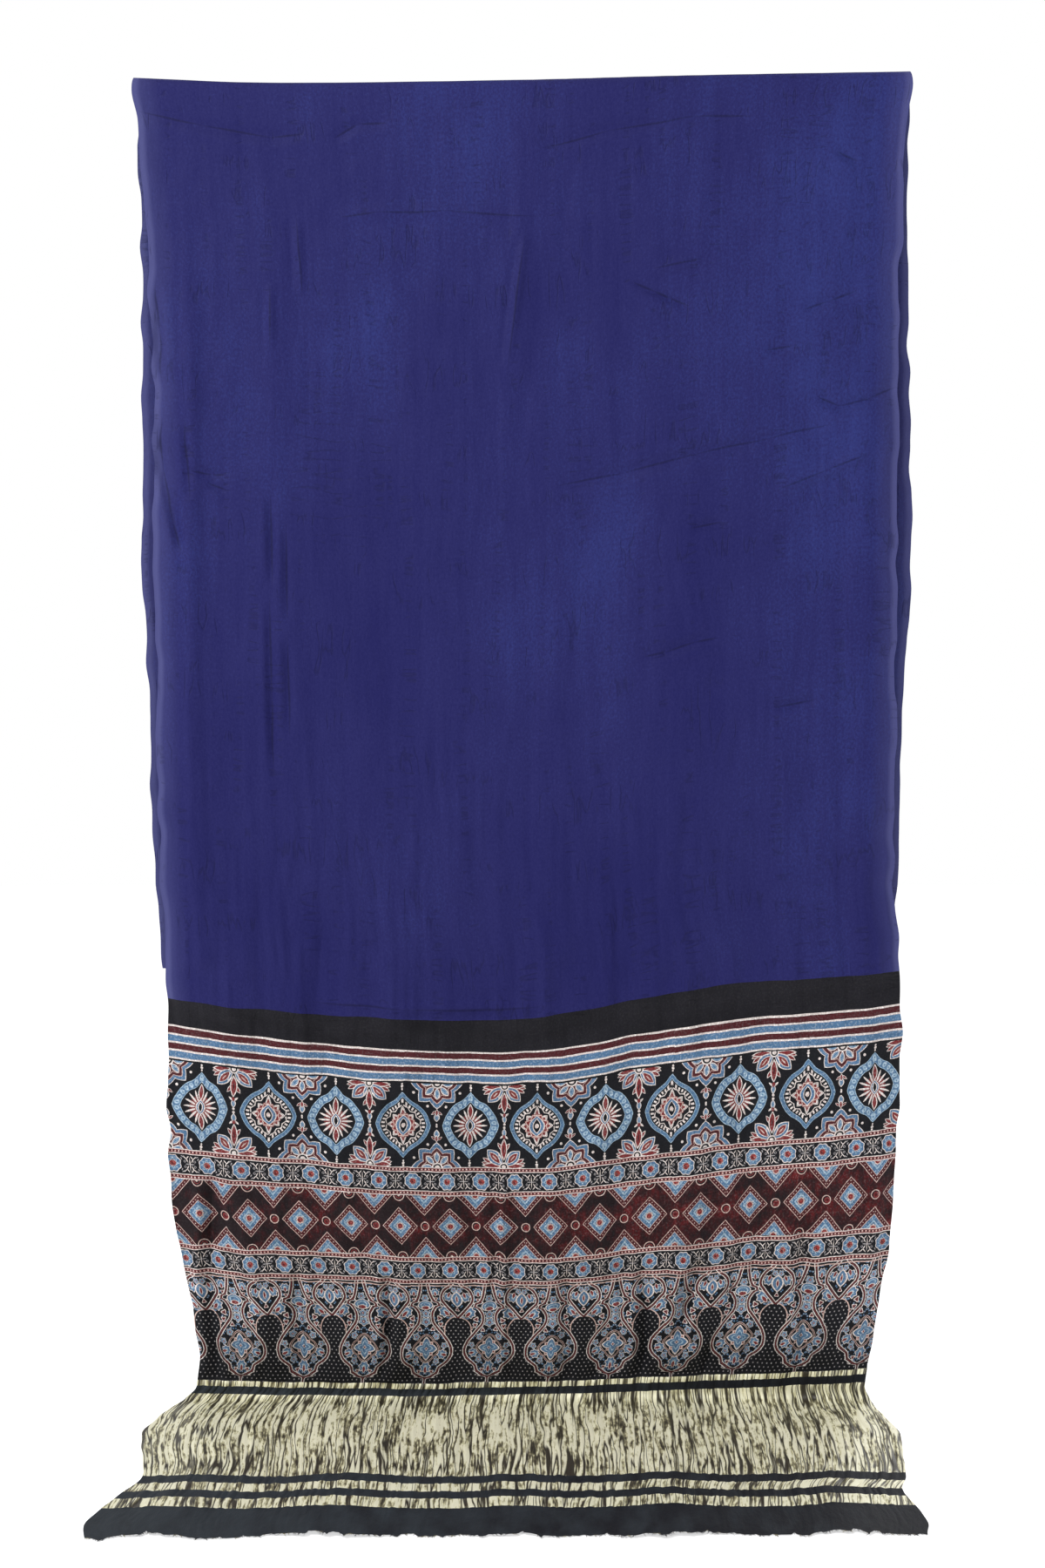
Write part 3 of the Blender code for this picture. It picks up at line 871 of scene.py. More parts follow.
class Blocks:
    """One band's printing blocks. Places are in millimetres: u across the cloth, v down the band."""

    def __init__(self, name, dyes, start, end):
        self.material, n, self.shader, self.weave = new_material(name)
        self.n, self.dyes = n, dyes
        self.start, self.end = start, end
        self.height = 1000 * (end - start)
        # Hand-cut blocks slip a little from one printing to the next, and their lines waver.
        waver = n("TexNoise", n("VectorMath.MULTIPLY", self.weave, WAVER_SCALE), 1.0, 2.0, 0.5)
        waver = n("VectorMath.SUBTRACT", waver.node.outputs["Color"], (0.5, 0.5, 0.5))
        place = n("VectorMath.MULTIPLY_ADD", self.weave, (1e3, 1e3, 0.0), (0.0, -1e3 * start, 0.0))
        place = n("VectorMath.ADD", place, n("VectorMath.SCALE", waver, WAVER))
        self.u = n("SeparateXYZ", place)
        block = n("Math.FLOOR", n("Math.DIVIDE", n("Math.ADD", self.u, REPEAT / 2), 2 * REPEAT))
        slip = n("TexWhiteNoise", block, noise_dimensions="1D")
        slid = n("Math.SUBTRACT", self.u.node.outputs["Y"], SLIP / 2)
        self.v = n("Math.MULTIPLY_ADD", slip, SLIP, slid)
        self.colour = self.dye("black")

    def dye(self, name):
        """A dye's colour, as shaders take it."""
        return tuple(getattr(self.dyes, name))

    def place(self, pitch, phase, v, mirror=False):
        """The place in each repeat, measured from its middle line and from v."""
        x = self.n("Math.WRAP", self.n("Math.SUBTRACT", self.u, phase), pitch / 2, -pitch / 2)
        if mirror:
            x = self.n("Math.ABSOLUTE", x)
        return self.n("CombineXYZ", x, v, 0.0)

    def profile(self, value, points):
        """A smooth curve through a few points, read at the value."""
        span, size = points[-1][0], max(point[1] for point in points)
        scaled = [(x / span, y / size) for x, y in points]
        share = self.n("Math.MULTIPLY", value, 1 / span)
        return self.n("Math.MULTIPLY", self.n("FloatCurve", 1.0, share, points=scaled), size)

    def line(self, value, middle, half):
        """The field of a line: 0 along its middle and 1 at its edges."""
        offset = self.n("Math.MULTIPLY_ADD", value, 1 / half, -middle / half)
        return self.n("Math.ABSOLUTE", offset)

    def shape(self, kind, place, centre, size, turn=0.0):
        """The field of an oval, a leaf or a diamond: 0 in its middle and 1 on its outline."""
        n = self.n
        turned = (0.0, 0.0, math.radians(turn))
        place = n("Mapping", place, (*centre, 0.0), turned, (*size, 1.0), vector_type="TEXTURE")
        if kind == "oval":
            return n("VectorMath.LENGTH", place)
        along = n("SeparateXYZ", n("VectorMath.ABSOLUTE", place))
        side = along.node.outputs["Y"]
        if kind == "leaf":
            along = n("Math.MULTIPLY", along, along)
        return n("Math.ADD", along, side)

    def flower(self, place, centre, radius, count, depth, turn=0.0):
        """The field of a flower of pointed petals, cut in by this depth between them."""
        n = self.n
        away = n("VectorMath.SUBTRACT", place, (*centre, 0.0))
        x = n("SeparateXYZ", away)
        angle = n("Math.ARCTAN2", x, x.node.outputs["Y"])
        angle = n("Math.ADD", angle, math.radians(turn))
        swing = n("Math.PINGPONG", angle, math.pi / count)
        reach = n("Math.MULTIPLY_ADD", swing, -depth * radius * count / math.pi, radius)
        return n("Math.DIVIDE", n("VectorMath.LENGTH", away), reach)

    def stamp(self, field, rings):
        """Prints a shape where its field is below 1, in one dye or in rings from these shares out."""
        n = self.n
        if isinstance(rings, str):
            ink = self.dye(rings)
        else:
            ink = n("ValToRGB", field, steps=[(share, self.dye(name)) for share, name in rings])
        inside = n("Math.LESS_THAN", field, 1.0)
        self.colour = n("Mix", inside, self.colour, ink, data_type="RGBA")

    def print_motif(self, motif, place):
        """Prints each shape of a motif in turn."""
        for kind, centre, size, turn, rings in motif:
            if kind == "flower":
                field = self.flower(place, centre, *size, turn)
            else:
                field = self.shape(kind, place, centre, size, turn)
            self.stamp(field, rings)

    def dotted_rule(self, from_edge):
        """Prints a madder line of dots between two resist lines."""
        n = self.n
        for half, name in RULE_LINES:
            self.stamp(self.line(from_edge, RULE_MIDDLE, half), name)
        x = n("Math.WRAP", self.u, RULE_PITCH / 2, -RULE_PITCH / 2)
        place = n("CombineXYZ", x, from_edge, 0.0)
        self.stamp(self.shape("oval", place, (0.0, RULE_MIDDLE), RULE_DOT), "rose")
        place = n("CombineXYZ", n("Math.ABSOLUTE", x), from_edge, 0.0)
        self.stamp(self.shape("oval", place, (RULE_PITCH / 2, RULE_MIDDLE), RULE_GAP), "black")

    def washed(self, mottle=0.55):
        """Finishes the silk: dye takes unevenly, in clouds 40 to 60 mm wide and thread by thread."""
        n, weave = self.n, self.weave
        clouds = n("TexNoise", n("VectorMath.MULTIPLY", weave, (24.0, 16.0, 1.0)), 1.0, 3.0, 0.65)
        # The threads' mottle is drawn 2.4 mm wide, for threads 0.3 mm apart.
        threads = n("TexNoise", n("VectorMath.MULTIPLY", weave, (420.0, 300.0, 1.0)), 1.0, 2.0, 0.6)
        # Both noises are about a half on average, and this sets the average of what they add up to.
        start = PRINT_VALUE - (THREAD_MOTTLE + mottle) / 2
        value = n("Math.MULTIPLY_ADD", threads, THREAD_MOTTLE, start)
        value = n("Math.MULTIPLY_ADD", clouds, mottle, value)
        # Undyed flecks show where the block did not reach the hollows of the weave. They are drawn
        # 3 mm wide, and real ones are under 1 mm.
        flecks = n("TexNoise", n("VectorMath.MULTIPLY", weave, (330.0, 330.0, 1.0)), 1.0, 2.0, 0.6)
        value = n("Math.ADD", value, n("MapRange", flecks, 0.50, 0.68, 0.0, 0.42))
        saturation = n("MapRange", flecks, 0.50, 0.68, 1.0, 0.5)
        # Painted shade darkens the colour along the small creases and the listed main creases.
        creased = small_creases(n, weave)
        value = n("Math.MULTIPLY", value, n("MapRange", creased, 0.0, 1.0, 0.7, 1.0))
        main = main_creases(n, weave, self.start, self.end)
        value = n("Math.MULTIPLY", value, n("MapRange", main, 0.0, 1.0, 0.5, 1.0))
        colour = n("HueSaturation", 0.5, saturation, value, 1.0, self.colour)
        finish_silk(n, self.shader, weave, colour, creased)
        return self.material


def black_silk(dyes):
    """The plain band of silk dyed with fermented iron: a brownish black, greyer where it is thin."""
    blocks = Blocks("iron_black_silk", dyes, BLUE_END, PRINT_START)
    clouds = blocks.n("VectorMath.MULTIPLY", blocks.weave, (7.0, 16.0, 1.0))
    tone = blocks.n("TexNoise", clouds, 1.0, 3.0, 0.6)
    stops = [(0.3, blocks.dye("iron")), (0.7, blocks.dye("iron_pale"))]
    blocks.colour = blocks.n("ValToRGB", tone, stops=stops)
    return blocks.washed()


def striped_silk(dyes):
    """Block-printed silk, in madder and indigo stripes between lines kept undyed by a resist paste."""
    blocks = Blocks("striped_silk", dyes, PRINT_START, MEDALLIONS)
    steps = [(edge / STRIPES_LENGTH, blocks.dye(name)) for edge, name in STRIPES]
    share = blocks.n("Math.DIVIDE", blocks.v, STRIPES_LENGTH)
    blocks.colour = blocks.n("ValToRGB", share, steps=steps)
    return blocks.washed()


def medallion(blocks, place, outline, bands):
    """Prints a pointed ring, and returns its field with the angle from its top and the distance."""
    n = blocks.n
    x = n("SeparateXYZ", n("VectorMath.ABSOLUTE", place))
    angle = n("Math.ARCTAN2", x, x.node.outputs["Y"])
    distance = n("VectorMath.LENGTH", place)
    ogee = n("Math.DIVIDE", distance, blocks.profile(angle, outline))
    blocks.stamp(ogee, bands)
    return ogee, angle, distance


def beaded_medallion(blocks, place):
    """A pointed ring of indigo set with pale beads, round a flower of sixteen petals."""
    n = blocks.n
    ogee, angle, distance = medallion(blocks, place, BEADED_OUTLINE, BEADED_RING)
    gap = n("Math.MULTIPLY", n("Math.PINGPONG", angle, math.pi / BEADS), BEAD_CIRCLE / BEAD_RADIUS)
    bead = n("VectorMath.LENGTH", n("CombineXYZ", gap, blocks.line(ogee, *BEAD_BAND), 0.0))
    blocks.stamp(bead, [(0, "indigo"), (0.22, "pale_indigo"), (0.80, "indigo")])
    blocks.stamp(blocks.flower(place, (0, 0), PETAL_RADIUS, PETALS, 0.42, 180 / PETALS), "madder")
    width = blocks.profile(distance, PETAL_OUTLINE)
    lateral = n("Math.MULTIPLY", n("Math.PINGPONG", angle, math.pi / PETALS), distance)
    petal = n("Math.DIVIDE", lateral, n("Math.MAXIMUM", width, 0.001))
    blocks.stamp(petal, "resist")
    blocks.print_motif(FLOWER_HEART, place)


def leafy_medallion(blocks, place):
    """A pointed ring of indigo round a wheel of leaves."""
    n = blocks.n
    ogee, angle, _ = medallion(blocks, place, LEAFY_OUTLINE, LEAFY_RING)
    tick = n("Math.MULTIPLY", n("Math.PINGPONG", angle, math.pi / TICKS), 1 / TICK_TURN)
    blocks.stamp(n("Math.MAXIMUM", tick, blocks.line(ogee, *TICK_BAND)), "resist")
    for lobes, cut, reach, rings in LEAF_WREATHS:
        field = n("Math.MULTIPLY_ADD", n("Math.PINGPONG", angle, math.pi / lobes), cut, ogee)
        blocks.stamp(n("Math.DIVIDE", field, reach), rings)
    blocks.print_motif(LEAFY_HEART, place)


def medallion_silk(dyes):
    """The wide printed row: medallions between half stars and half lotuses, with buds on stems."""
    blocks = Blocks("medallion_printed_silk", dyes, MEDALLIONS, ROSETTES_1)
    n, half = blocks.n, blocks.height / 2
    y = n("Math.SUBTRACT", blocks.v, half)
    side = n("Math.ABSOLUTE", y)
    from_edge = n("Math.SUBTRACT", half, side)
    pair = 2 * REPEAT
    beaded_medallion(blocks, blocks.place(pair, BEADED_PHASE, side))
    leafy_medallion(blocks, blocks.place(pair, BEADED_PHASE + REPEAT, side))
    blocks.print_motif(STEM_BEADS, blocks.place(REPEAT, BEADED_PHASE, from_edge, mirror=True))
    lotus_line, star_line = BEADED_PHASE + REPEAT / 2, BEADED_PHASE - REPEAT / 2
    blocks.print_motif(STAR, blocks.place(pair, star_line, from_edge, mirror=True))
    blocks.print_motif(LOTUS, blocks.place(pair, lotus_line, from_edge, mirror=True))
    blocks.print_motif(STAR_LINK, blocks.place(pair, star_line, side, mirror=True))
    blocks.print_motif(LOTUS_LINK, blocks.place(pair, lotus_line, side, mirror=True))
    return blocks.washed()


def rosette_silk(name, dyes, start, end):
    """A narrow border of indigo rosettes and resist scrolls, between dotted lines."""
    blocks = Blocks(name, dyes, start, end)
    n, half = blocks.n, blocks.height / 2
    y = n("Math.SUBTRACT", blocks.v, half)
    side = n("Math.ABSOLUTE", y)
    between = ROSETTE_PITCH / 2 + ROSETTE_PHASE
    blocks.print_motif(SCROLLS, blocks.place(ROSETTE_PITCH, between, side, mirror=True))
    blocks.print_motif(ROSETTE, blocks.place(ROSETTE_PITCH, ROSETTE_PHASE, y))
    blocks.dotted_rule(n("Math.SUBTRACT", half, side))
    return blocks.washed()


def framed_diamond(blocks, place, size):
    """A diamond of flecked indigo in a frame of madder with small dots."""
    n = blocks.n
    field = blocks.shape("diamond", place, (0.0, 0.0), size)
    blocks.stamp(field, DIAMOND_RINGS)
    flecks = n("TexVoronoi", n("VectorMath.MULTIPLY", place, FLECK_SCALE), 1.0)
    inner = n("Math.MULTIPLY", field, 1 / FLECKED_SHARE)
    blocks.stamp(n("Math.MAXIMUM", n("Math.MULTIPLY", flecks, 1 / FLECK_RADIUS), inner), "pale_indigo")
    x = n("SeparateXYZ", n("VectorMath.ABSOLUTE", place))
    run = n("Math.MULTIPLY", n("Math.SUBTRACT", x, x.node.outputs["Y"]), math.sqrt(0.5))
    run = n("Math.WRAP", run, FRAME_DOT_PITCH / 2, -FRAME_DOT_PITCH / 2)
    dot = n("CombineXYZ", run, n("Math.MULTIPLY_ADD", field, DIAMOND_REACH, -FRAME_DOTS), 0.0)
    blocks.stamp(blocks.shape("oval", dot, (0.0, 0.0), FRAME_DOT), "rose")
    blocks.print_motif(DIAMOND_HEART, place)


def diamond_silk(dyes):
    """Printed indigo diamonds in dotted frames, on a ground mottled where black lies over madder.

    The mottle is in grains 7 to 13 mm wide, within drenched patches about 50 mm wide.
    """
    blocks = Blocks("diamond_printed_silk", dyes, DIAMONDS, ROSETTES_2)
    n, weave, half = blocks.n, blocks.weave, blocks.height / 2
    mottle = n("TexNoise", n("VectorMath.MULTIPLY", weave, (150.0, 75.0, 1.0)), 1.0, 4.0, 0.7)
    drench = n("TexNoise", n("VectorMath.MULTIPLY", weave, (16.0, 22.0, 1.0)), 1.0, 3.0, 0.6)
    redder = n("Math.MULTIPLY", n("SeparateXYZ", weave), 0.09)
    tone = n("Math.MULTIPLY_ADD", drench, 0.6, n("Math.MULTIPLY_ADD", mottle, 0.4, redder))
    stops = [(0.49, "plum_black"), (0.58, "plum"), (0.67, "deep_madder"), (0.76, "madder")]
    blocks.colour = n("ValToRGB", tone, stops=[(share, blocks.dye(name)) for share, name in stops])
    y = n("Math.SUBTRACT", blocks.v, half)
    from_edge = n("Math.SUBTRACT", half, n("Math.ABSOLUTE", y))
    between = DIAMOND_PHASE + DIAMOND_PITCH / 2
    framed_diamond(blocks, blocks.place(DIAMOND_PITCH, DIAMOND_PHASE, y, mirror=True), DIAMOND)
    framed_diamond(blocks, blocks.place(DIAMOND_PITCH, between, from_edge, mirror=True), HALF_DIAMOND)
    blocks.print_motif(MOON, blocks.place(DIAMOND_PITCH, between, y))
    blocks.print_motif(EDGE_RING, blocks.place(DIAMOND_PITCH, DIAMOND_PHASE, from_edge))
    return blocks.washed()


def triple_line(blocks, gap, part=None):
    """Prints resist, madder and resist lines side by side along a curve."""
    for half, name in TRIPLE_LINE:
        field = blocks.line(gap, 0.0, half)
        blocks.stamp(blocks.n("Math.MAXIMUM", field, part) if part else field, name)


def off_curve(blocks, value, place, points):
    """How far a value is from a curve, measured square to it."""
    n = blocks.n
    here = blocks.profile(place, points)
    slope = n("Math.SUBTRACT", blocks.profile(n("Math.ADD", place, 1.0), points), here)
    stretch = n("Math.SQRT", n("Math.MULTIPLY_ADD", slope, slope, 1.0))
    return n("Math.DIVIDE", n("Math.SUBTRACT", value, here), stretch)


def palmette_silk(dyes):
    """Printed palmettes hung from ogives, on a black ground sown with dots of resist."""
    blocks = Blocks("palmette_printed_silk", dyes, PALMETTES, PRINT_END)
    n, y = blocks.n, blocks.v
    place = blocks.place(REPEAT, PALMETTE_PHASE, y, mirror=True)
    x = n("SeparateXYZ", place)
    gap = n("Math.SUBTRACT", REPEAT / 2, x)
    sprigs = n("TexVoronoi", n("VectorMath.MULTIPLY", place, SPRIG_SCALE), 1.0)
    blocks.stamp(sprigs, [(0, "resist"), (0.10, "indigo"), (0.30, "black")])
    for posy, centre, size, turn in POSIES:
        turned = (0, 0, math.radians(turn))
        local = n("Mapping", place, (*centre, 0.0), turned, (size, size, 1.0), vector_type="TEXTURE")
        blocks.print_motif(posy, local)
    # The sown ground: a keyhole between palmettes, open downwards.
    depth = n("Math.MINIMUM", n("Math.SUBTRACT", y, KEYHOLE_TOP), 0.0)
    hole = n("Math.DIVIDE", n("VectorMath.LENGTH", n("CombineXYZ", gap, depth, 0.0)), KEYHOLE_RADIUS)
    off_column = off_curve(blocks, x, y, COLUMN)
    outside = n("Math.SUBTRACT", 1.0, off_column)
    lower = n("Math.SUBTRACT", 1 + KEYHOLE_END, y)
    field = n("Math.MAXIMUM", n("Math.MINIMUM", hole, lower), outside)
    blocks.stamp(field, "black")
    row = n("Math.FLOOR", n("Math.DIVIDE", y, SEED_ROW))
    shift = n("Math.MULTIPLY", n("Math.PINGPONG", row, 1.0), SEED_PITCH / 2)
    across = n("Math.WRAP", n("Math.ADD", blocks.u, shift), SEED_PITCH / 2, -SEED_PITCH / 2)
    seed = n("CombineXYZ", across, n("Math.WRAP", y, SEED_ROW, 0.0), 0.0)
    seed = blocks.shape("oval", seed, (0.0, SEED_ROW / 2), (SEED_RADIUS, SEED_RADIUS))
    blocks.stamp(n("Math.MAXIMUM", seed, field), "chalk")
    rim = blocks.line(hole, 1.0, KEYHOLE_RIM)
    part = n("Math.MAXIMUM", outside, n("Math.DIVIDE", y, KEYHOLE_END))
    blocks.stamp(n("Math.MAXIMUM", rim, part), "rose")
    off_ogive = off_curve(blocks, gap, y, OGIVE)
    triple_line(blocks, off_ogive, n("Math.MAXIMUM", outside, n("Math.DIVIDE", y, OGIVE[-1][0])))
    triple_line(blocks, off_column)
    blocks.stamp(blocks.line(y, *TOP_RULE), "rose")
    # The palmettes get darker towards the tissue.
    darkening = n("MapRange", y, *DARKENING)
    blocks.colour = n("HueSaturation", 0.5, 1.0, darkening, 1.0, blocks.colour)
    return blocks.washed(0.8)


def tissue_silk(dyes):
    """Tissue, with a flat gilt metal weft over a black silk warp, crushed by hand.

    The weft is painted bright as a highlight where a ridge would face the light, and painted shade darkens
    its slopes and valleys. The valleys are about 11 mm apart and 280 mm long. The threads are too fine to
    show and left out.
    """
    material, n, shader, weave = new_material("gold_tissue")
    tree = shader.id_data
    sway = n("TexNoise", n("VectorMath.MULTIPLY", weave, (30.0, 9.0, 1.0)), 1.0, 2.0, 0.5)
    sway = n("VectorMath.SUBTRACT", sway.node.outputs["Color"], (0.5, 0.5, 0.5))
    # The crush was pressed in before the cloth was spread, so it stands more upright than the warp.
    u = n("SeparateXYZ", weave)
    v = u.node.outputs["Y"]
    upright = n("MapRange", v, TISSUE_START, SHEAR_END, 0.0, 0.045)
    upright = n("Math.ADD", upright, n("MapRange", v, TISSUE_END, BANDS_END, 0.0, 0.065))
    upright = n("Math.MULTIPLY", n("Math.SUBTRACT", u, CLOTH_WIDTH / 2), upright)
    place = n("VectorMath.ADD", weave, n("CombineXYZ", upright, 0.0, 0.0))
    place = n("VectorMath.MULTIPLY_ADD", sway, (0.012, 0.0, 0.0), place)
    ridges = n("TexNoise", n("VectorMath.MULTIPLY", place, (92.0, 3.6, 1.0)), 1.0, 1.0, 0.5)
    from_valley = n("Math.ABSOLUTE", n("Math.SUBTRACT", ridges, 0.5))
    open_to_light = n("MapRange", from_valley, 0.011, 0.044)
    fine = n("TexNoise", n("VectorMath.MULTIPLY", place, (180.0, 8.0, 1.0)), 1.0, 2.0, 0.65)
    glints = n("TexNoise", n("VectorMath.MULTIPLY", place, (210.0, 45.0, 1.0)), 1.0, 2.0, 0.6)
    dull = n("TexNoise", n("VectorMath.MULTIPLY", place, (36.0, 11.0, 1.0)), 1.0, 2.0, 0.5)
    tone = n("Math.MULTIPLY_ADD", fine, 0.6, n("Math.MULTIPLY", glints, 0.4))
    tone = n("Math.MULTIPLY_ADD", dull, 0.25, tone)
    # The ramp paints highlights on the ridges and shade on the slopes, and painted shade fills the valleys.
    stops = [(0.49, "tissue_shadow"), (0.56, "tissue_dull"), (0.60, "tissue"), (0.64, "tissue_highlight")]
    colour = n("ValToRGB", tone, stops=[(s, tuple(getattr(dyes, name))) for s, name in stops])
    colour = n("Mix", open_to_light, dyes.tissue_shadow, colour, data_type="RGBA")
    height = n("Math.MULTIPLY_ADD", open_to_light, 0.6, n("Math.MULTIPLY", fine, 0.6))
    height = n("Math.MULTIPLY_ADD", glints, 0.3, height)
    bump = n("Bump", 0.6, 0.003, named={"Height": height})
    tree.links.new(colour, shader.inputs["Base Color"])
    tree.links.new(bump, shader.inputs["Normal"])
    tree.links.new(n("MapRange", dull, 0.35, 0.65, 0.34, 0.50), shader.inputs["Roughness"])
    # The metal is in strips far finer than these ridges, with silk between, so the whole is hardly
    # metallic.
    shader.inputs["Metallic"].default_value = 0.06
    return material


def end_silk(dyes):
    """The plain black end and the black lines in the tissue: crushed silk, matt and uneven in tone."""
    material, n, shader, weave = new_material("crushed_black_silk")
    clouds = n("TexNoise", n("VectorMath.MULTIPLY", weave, (30.0, 12.0, 1.0)), 1.0, 3.0, 0.6)
    # It is paler towards one side.
    tone = n("Math.MULTIPLY_ADD", n("SeparateXYZ", weave), -0.45, clouds)
    stops = [(0.05, tuple(dyes.end_black)), (0.50, tuple(dyes.end_grey))]
    finish_silk(n, shader, weave, n("ValToRGB", tone, stops=stops), depth=0.5)
    return material


def yarn_silk(dyes):
    """Loose black silk yarns, matt, with paler ends. Their twist is too fine to show."""
    material, n, shader, _ = new_material("loose_black_yarn")
    place = n("TexCoord").node.outputs["Object"]
    tone = n("TexNoise", place, 90.0, 2.0, 0.6)
    stops = [(0.50, tuple(dyes.end_black)), (0.62, tuple(dyes.tissue_dull))]
    shader.id_data.links.new(n("ValToRGB", tone, stops=stops), shader.inputs["Base Color"])
    shader.inputs["Roughness"].default_value = 0.7
    return material


def studio_paper():
    """Matt white paper under the cloth, lit so that it meets the white surround."""
    material, _, shader, _ = new_material("studio_paper")
    shader.inputs["Base Color"].default_value = linear("#fbfbfb")
    shader.inputs["Roughness"].default_value = 0.9
    shader.inputs["Emission Color"].default_value = (1, 1, 1, 1)
    shader.inputs["Emission Strength"].default_value = 0.6
    return material


def dye_property(name, description, colour):
    """A colour that a user may change."""
    return bpy.props.FloatVectorProperty(
        name=name, description=description, subtype="COLOR", size=4, min=0, max=1, default=linear(colour)
    )


class AjrakhDyes(bpy.types.PropertyGroup):
    """Colours of the dyes, the undyed silk and the metal weft."""

    vat: dye_property("Vat Blue", "Plain body, indigo over lac", "#21215b")
    vat_deep: dye_property("Vat Blue, Deep", "Where the vat took most", "#181854")
    vat_pale: dye_property("Vat Blue, Pale", "Where the vat took least", "#2a3272")
    vat_sheen: dye_property("Vat Blue, Worn", "Along the selvedges", "#4c4e80")
    # The painted sheen along the selvedges.
    iron: dye_property("Iron Black", "Plain band over the print", "#121118")
    iron_pale: dye_property("Iron Black, Pale", "Where the iron is thin", "#1e1d24")
    black: dye_property("Block Black", "Printed ground", "#15161c")
    resist: dye_property("Resist White", "Silk kept undyed by the resist", "#ddd1cd")
    chalk: dye_property("Resist Grey", "Small dots of resist, partly stained", "#a8a3a6")
    rose: dye_property("Stained Resist", "Resist lines stained by madder", "#cfb0a7")
    maroon: dye_property("Maroon", "Stripes of madder over iron", "#4f1c22")
    madder: dye_property("Madder", "Printed madder red", "#7d2b2e")
    scarlet: dye_property("Scarlet", "Drops of strong madder", "#9c3833")
    deep_madder: dye_property("Deep Madder", "Diamond ground, at its reddest", "#5c171b")
    plum: dye_property("Plum", "Diamond ground", "#38161a")
    plum_black: dye_property("Plum Black", "Diamond ground, at its darkest", "#22171b")
    indigo: dye_property("Printed Indigo", "Printed blue", "#52769a")
    pale_indigo: dye_property("Pale Indigo", "Printed blue where it is thin", "#98b3c8")
    tissue: dye_property("Tissue", "Metal weft", "#ddd7ac")
    # In the tissue, these three paint a highlight on its ridges and shade on its slopes and in its valleys.
    tissue_highlight: dye_property("Tissue, Bright", "Ridges of the tissue", "#fffbdc")
    tissue_dull: dye_property("Tissue, Dull", "Slopes of the tissue", "#8c8566")
    tissue_shadow: dye_property("Tissue, Shadow", "Black warp in the tissue's valleys", "#352f22")
    end_black: dye_property("End Black", "Black end and lines", "#181a20")
    # End Grey is where the black end is paler, in clouds and towards one side.
    end_grey: dye_property("End Grey", "Black end where it has faded", "#30363c")


class AjrakhSizes(bpy.types.PropertyGroup):
    """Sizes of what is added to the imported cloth."""

    hem_notch: bpy.props.FloatProperty(
        name="Hem Notch", description="Depth of the cut end's notches", default=0.009, unit="LENGTH"
    )
    yarn_length: bpy.props.FloatProperty(
        name="Yarn Length", description="Longest loose yarn at the cut end", default=0.009, unit="LENGTH"
    )
    yarn_count: bpy.props.IntProperty(
        name="Yarns", description="Loose yarns at the cut end", default=420, min=0
    )
    floor_size: bpy.props.FloatProperty(
        name="Floor", description="Width of the studio floor", default=30.0, unit="LENGTH"
    )


class AJRAKH_OT_stage(bpy.types.Operator):
    """Sets the white floor, the soft light and the camera"""

    bl_idname = "ajrakh.stage"
    bl_label = "Stage"

    def execute(self, context):
        scene = context.scene
        bm = bmesh.new()
        bmesh.ops.create_grid(bm, x_segments=1, y_segments=1, size=0.5 * scene.ajrakh_sizes.floor_size)
        bmesh.ops.translate(bm, verts=bm.verts, vec=(0, 0, CAD_BOX[0][2] - FLOOR_GAP))
        floor = new_piece("floor", bm)
        floor.data.materials.append(studio_paper())

        world = bpy.data.worlds.new("studio")
        world.use_nodes = True
        n = partial(add, world.node_tree)
        seen = n("LightPath")
        strength = n("MapRange", seen, 0.0, 1.0, AMBIENT, 1.0)
        background = world.node_tree.nodes["Background"]
        background.inputs["Color"].default_value = (1, 1, 1, 1)
        world.node_tree.links.new(strength, background.inputs["Strength"])
        scene.world = world
        for name, place, aim, size, power in LIGHTS:
            light = bpy.data.lights.new(name, "AREA")
            light.size, light.energy = size, power
            lamp = bpy.data.objects.new(name, light)
            lamp.location = place
            direction = Vector(aim) - Vector(place)
            lamp.rotation_euler = direction.to_track_quat("-Z", "Y").to_euler()
            scene.collection.objects.link(lamp)

        camera = bpy.data.cameras.new("camera")
        camera.lens, camera.sensor_width = CAMERA_LENS, SENSOR_WIDTH
        eye = bpy.data.objects.new("camera", camera)
        eye.location = (0.0, -FOLD_RADIUS - CAMERA_DISTANCE, FLOOR + CAMERA_HEIGHT)
        eye.rotation_euler = (QUARTER, 0.0, 0.0)
        scene.collection.objects.link(eye)
        scene.camera = eye
        scene.view_settings.view_transform = "Standard"
        return {"FINISHED"}


class AJRAKH_OT_body(bpy.types.Operator):
    """Weaves the plain indigo body: the back fall and the front down to the black band"""

    bl_idname = "ajrakh.body"
    bl_label = "Plain Body"

    def execute(self, context):
        silk = indigo_silk(context.scene.ajrakh_dyes)
        woven_sheet("back_fall", [(-BACK_FALL, silk, 160), (BODY_START,)], 170)
        woven_sheet("front_body", [(BODY_START, silk, 290), (BLUE_END,)], 340)
        return {"FINISHED"}


class AJRAKH_OT_printed_end(bpy.types.Operator):
    """Prints the figured end, band by band"""

    bl_idname = "ajrakh.printed_end"
    bl_label = "Printed End"

    def execute(self, context):
        dyes = context.scene.ajrakh_dyes
        bands = [
            (BLUE_END, black_silk(dyes), 20),
            (PRINT_START, striped_silk(dyes), 26),
            (MEDALLIONS, medallion_silk(dyes), 64),
            (ROSETTES_1, rosette_silk("upper_rosette_silk", dyes, ROSETTES_1, DIAMONDS), 22),
            (DIAMONDS, diamond_silk(dyes), 48),
            (ROSETTES_2, rosette_silk("lower_rosette_silk", dyes, ROSETTES_2, PALMETTES), 22),
            (PALMETTES, palmette_silk(dyes), 88),
            (PRINT_END,),
        ]
        woven_sheet("printed_end", bands, 340)
        return {"FINISHED"}


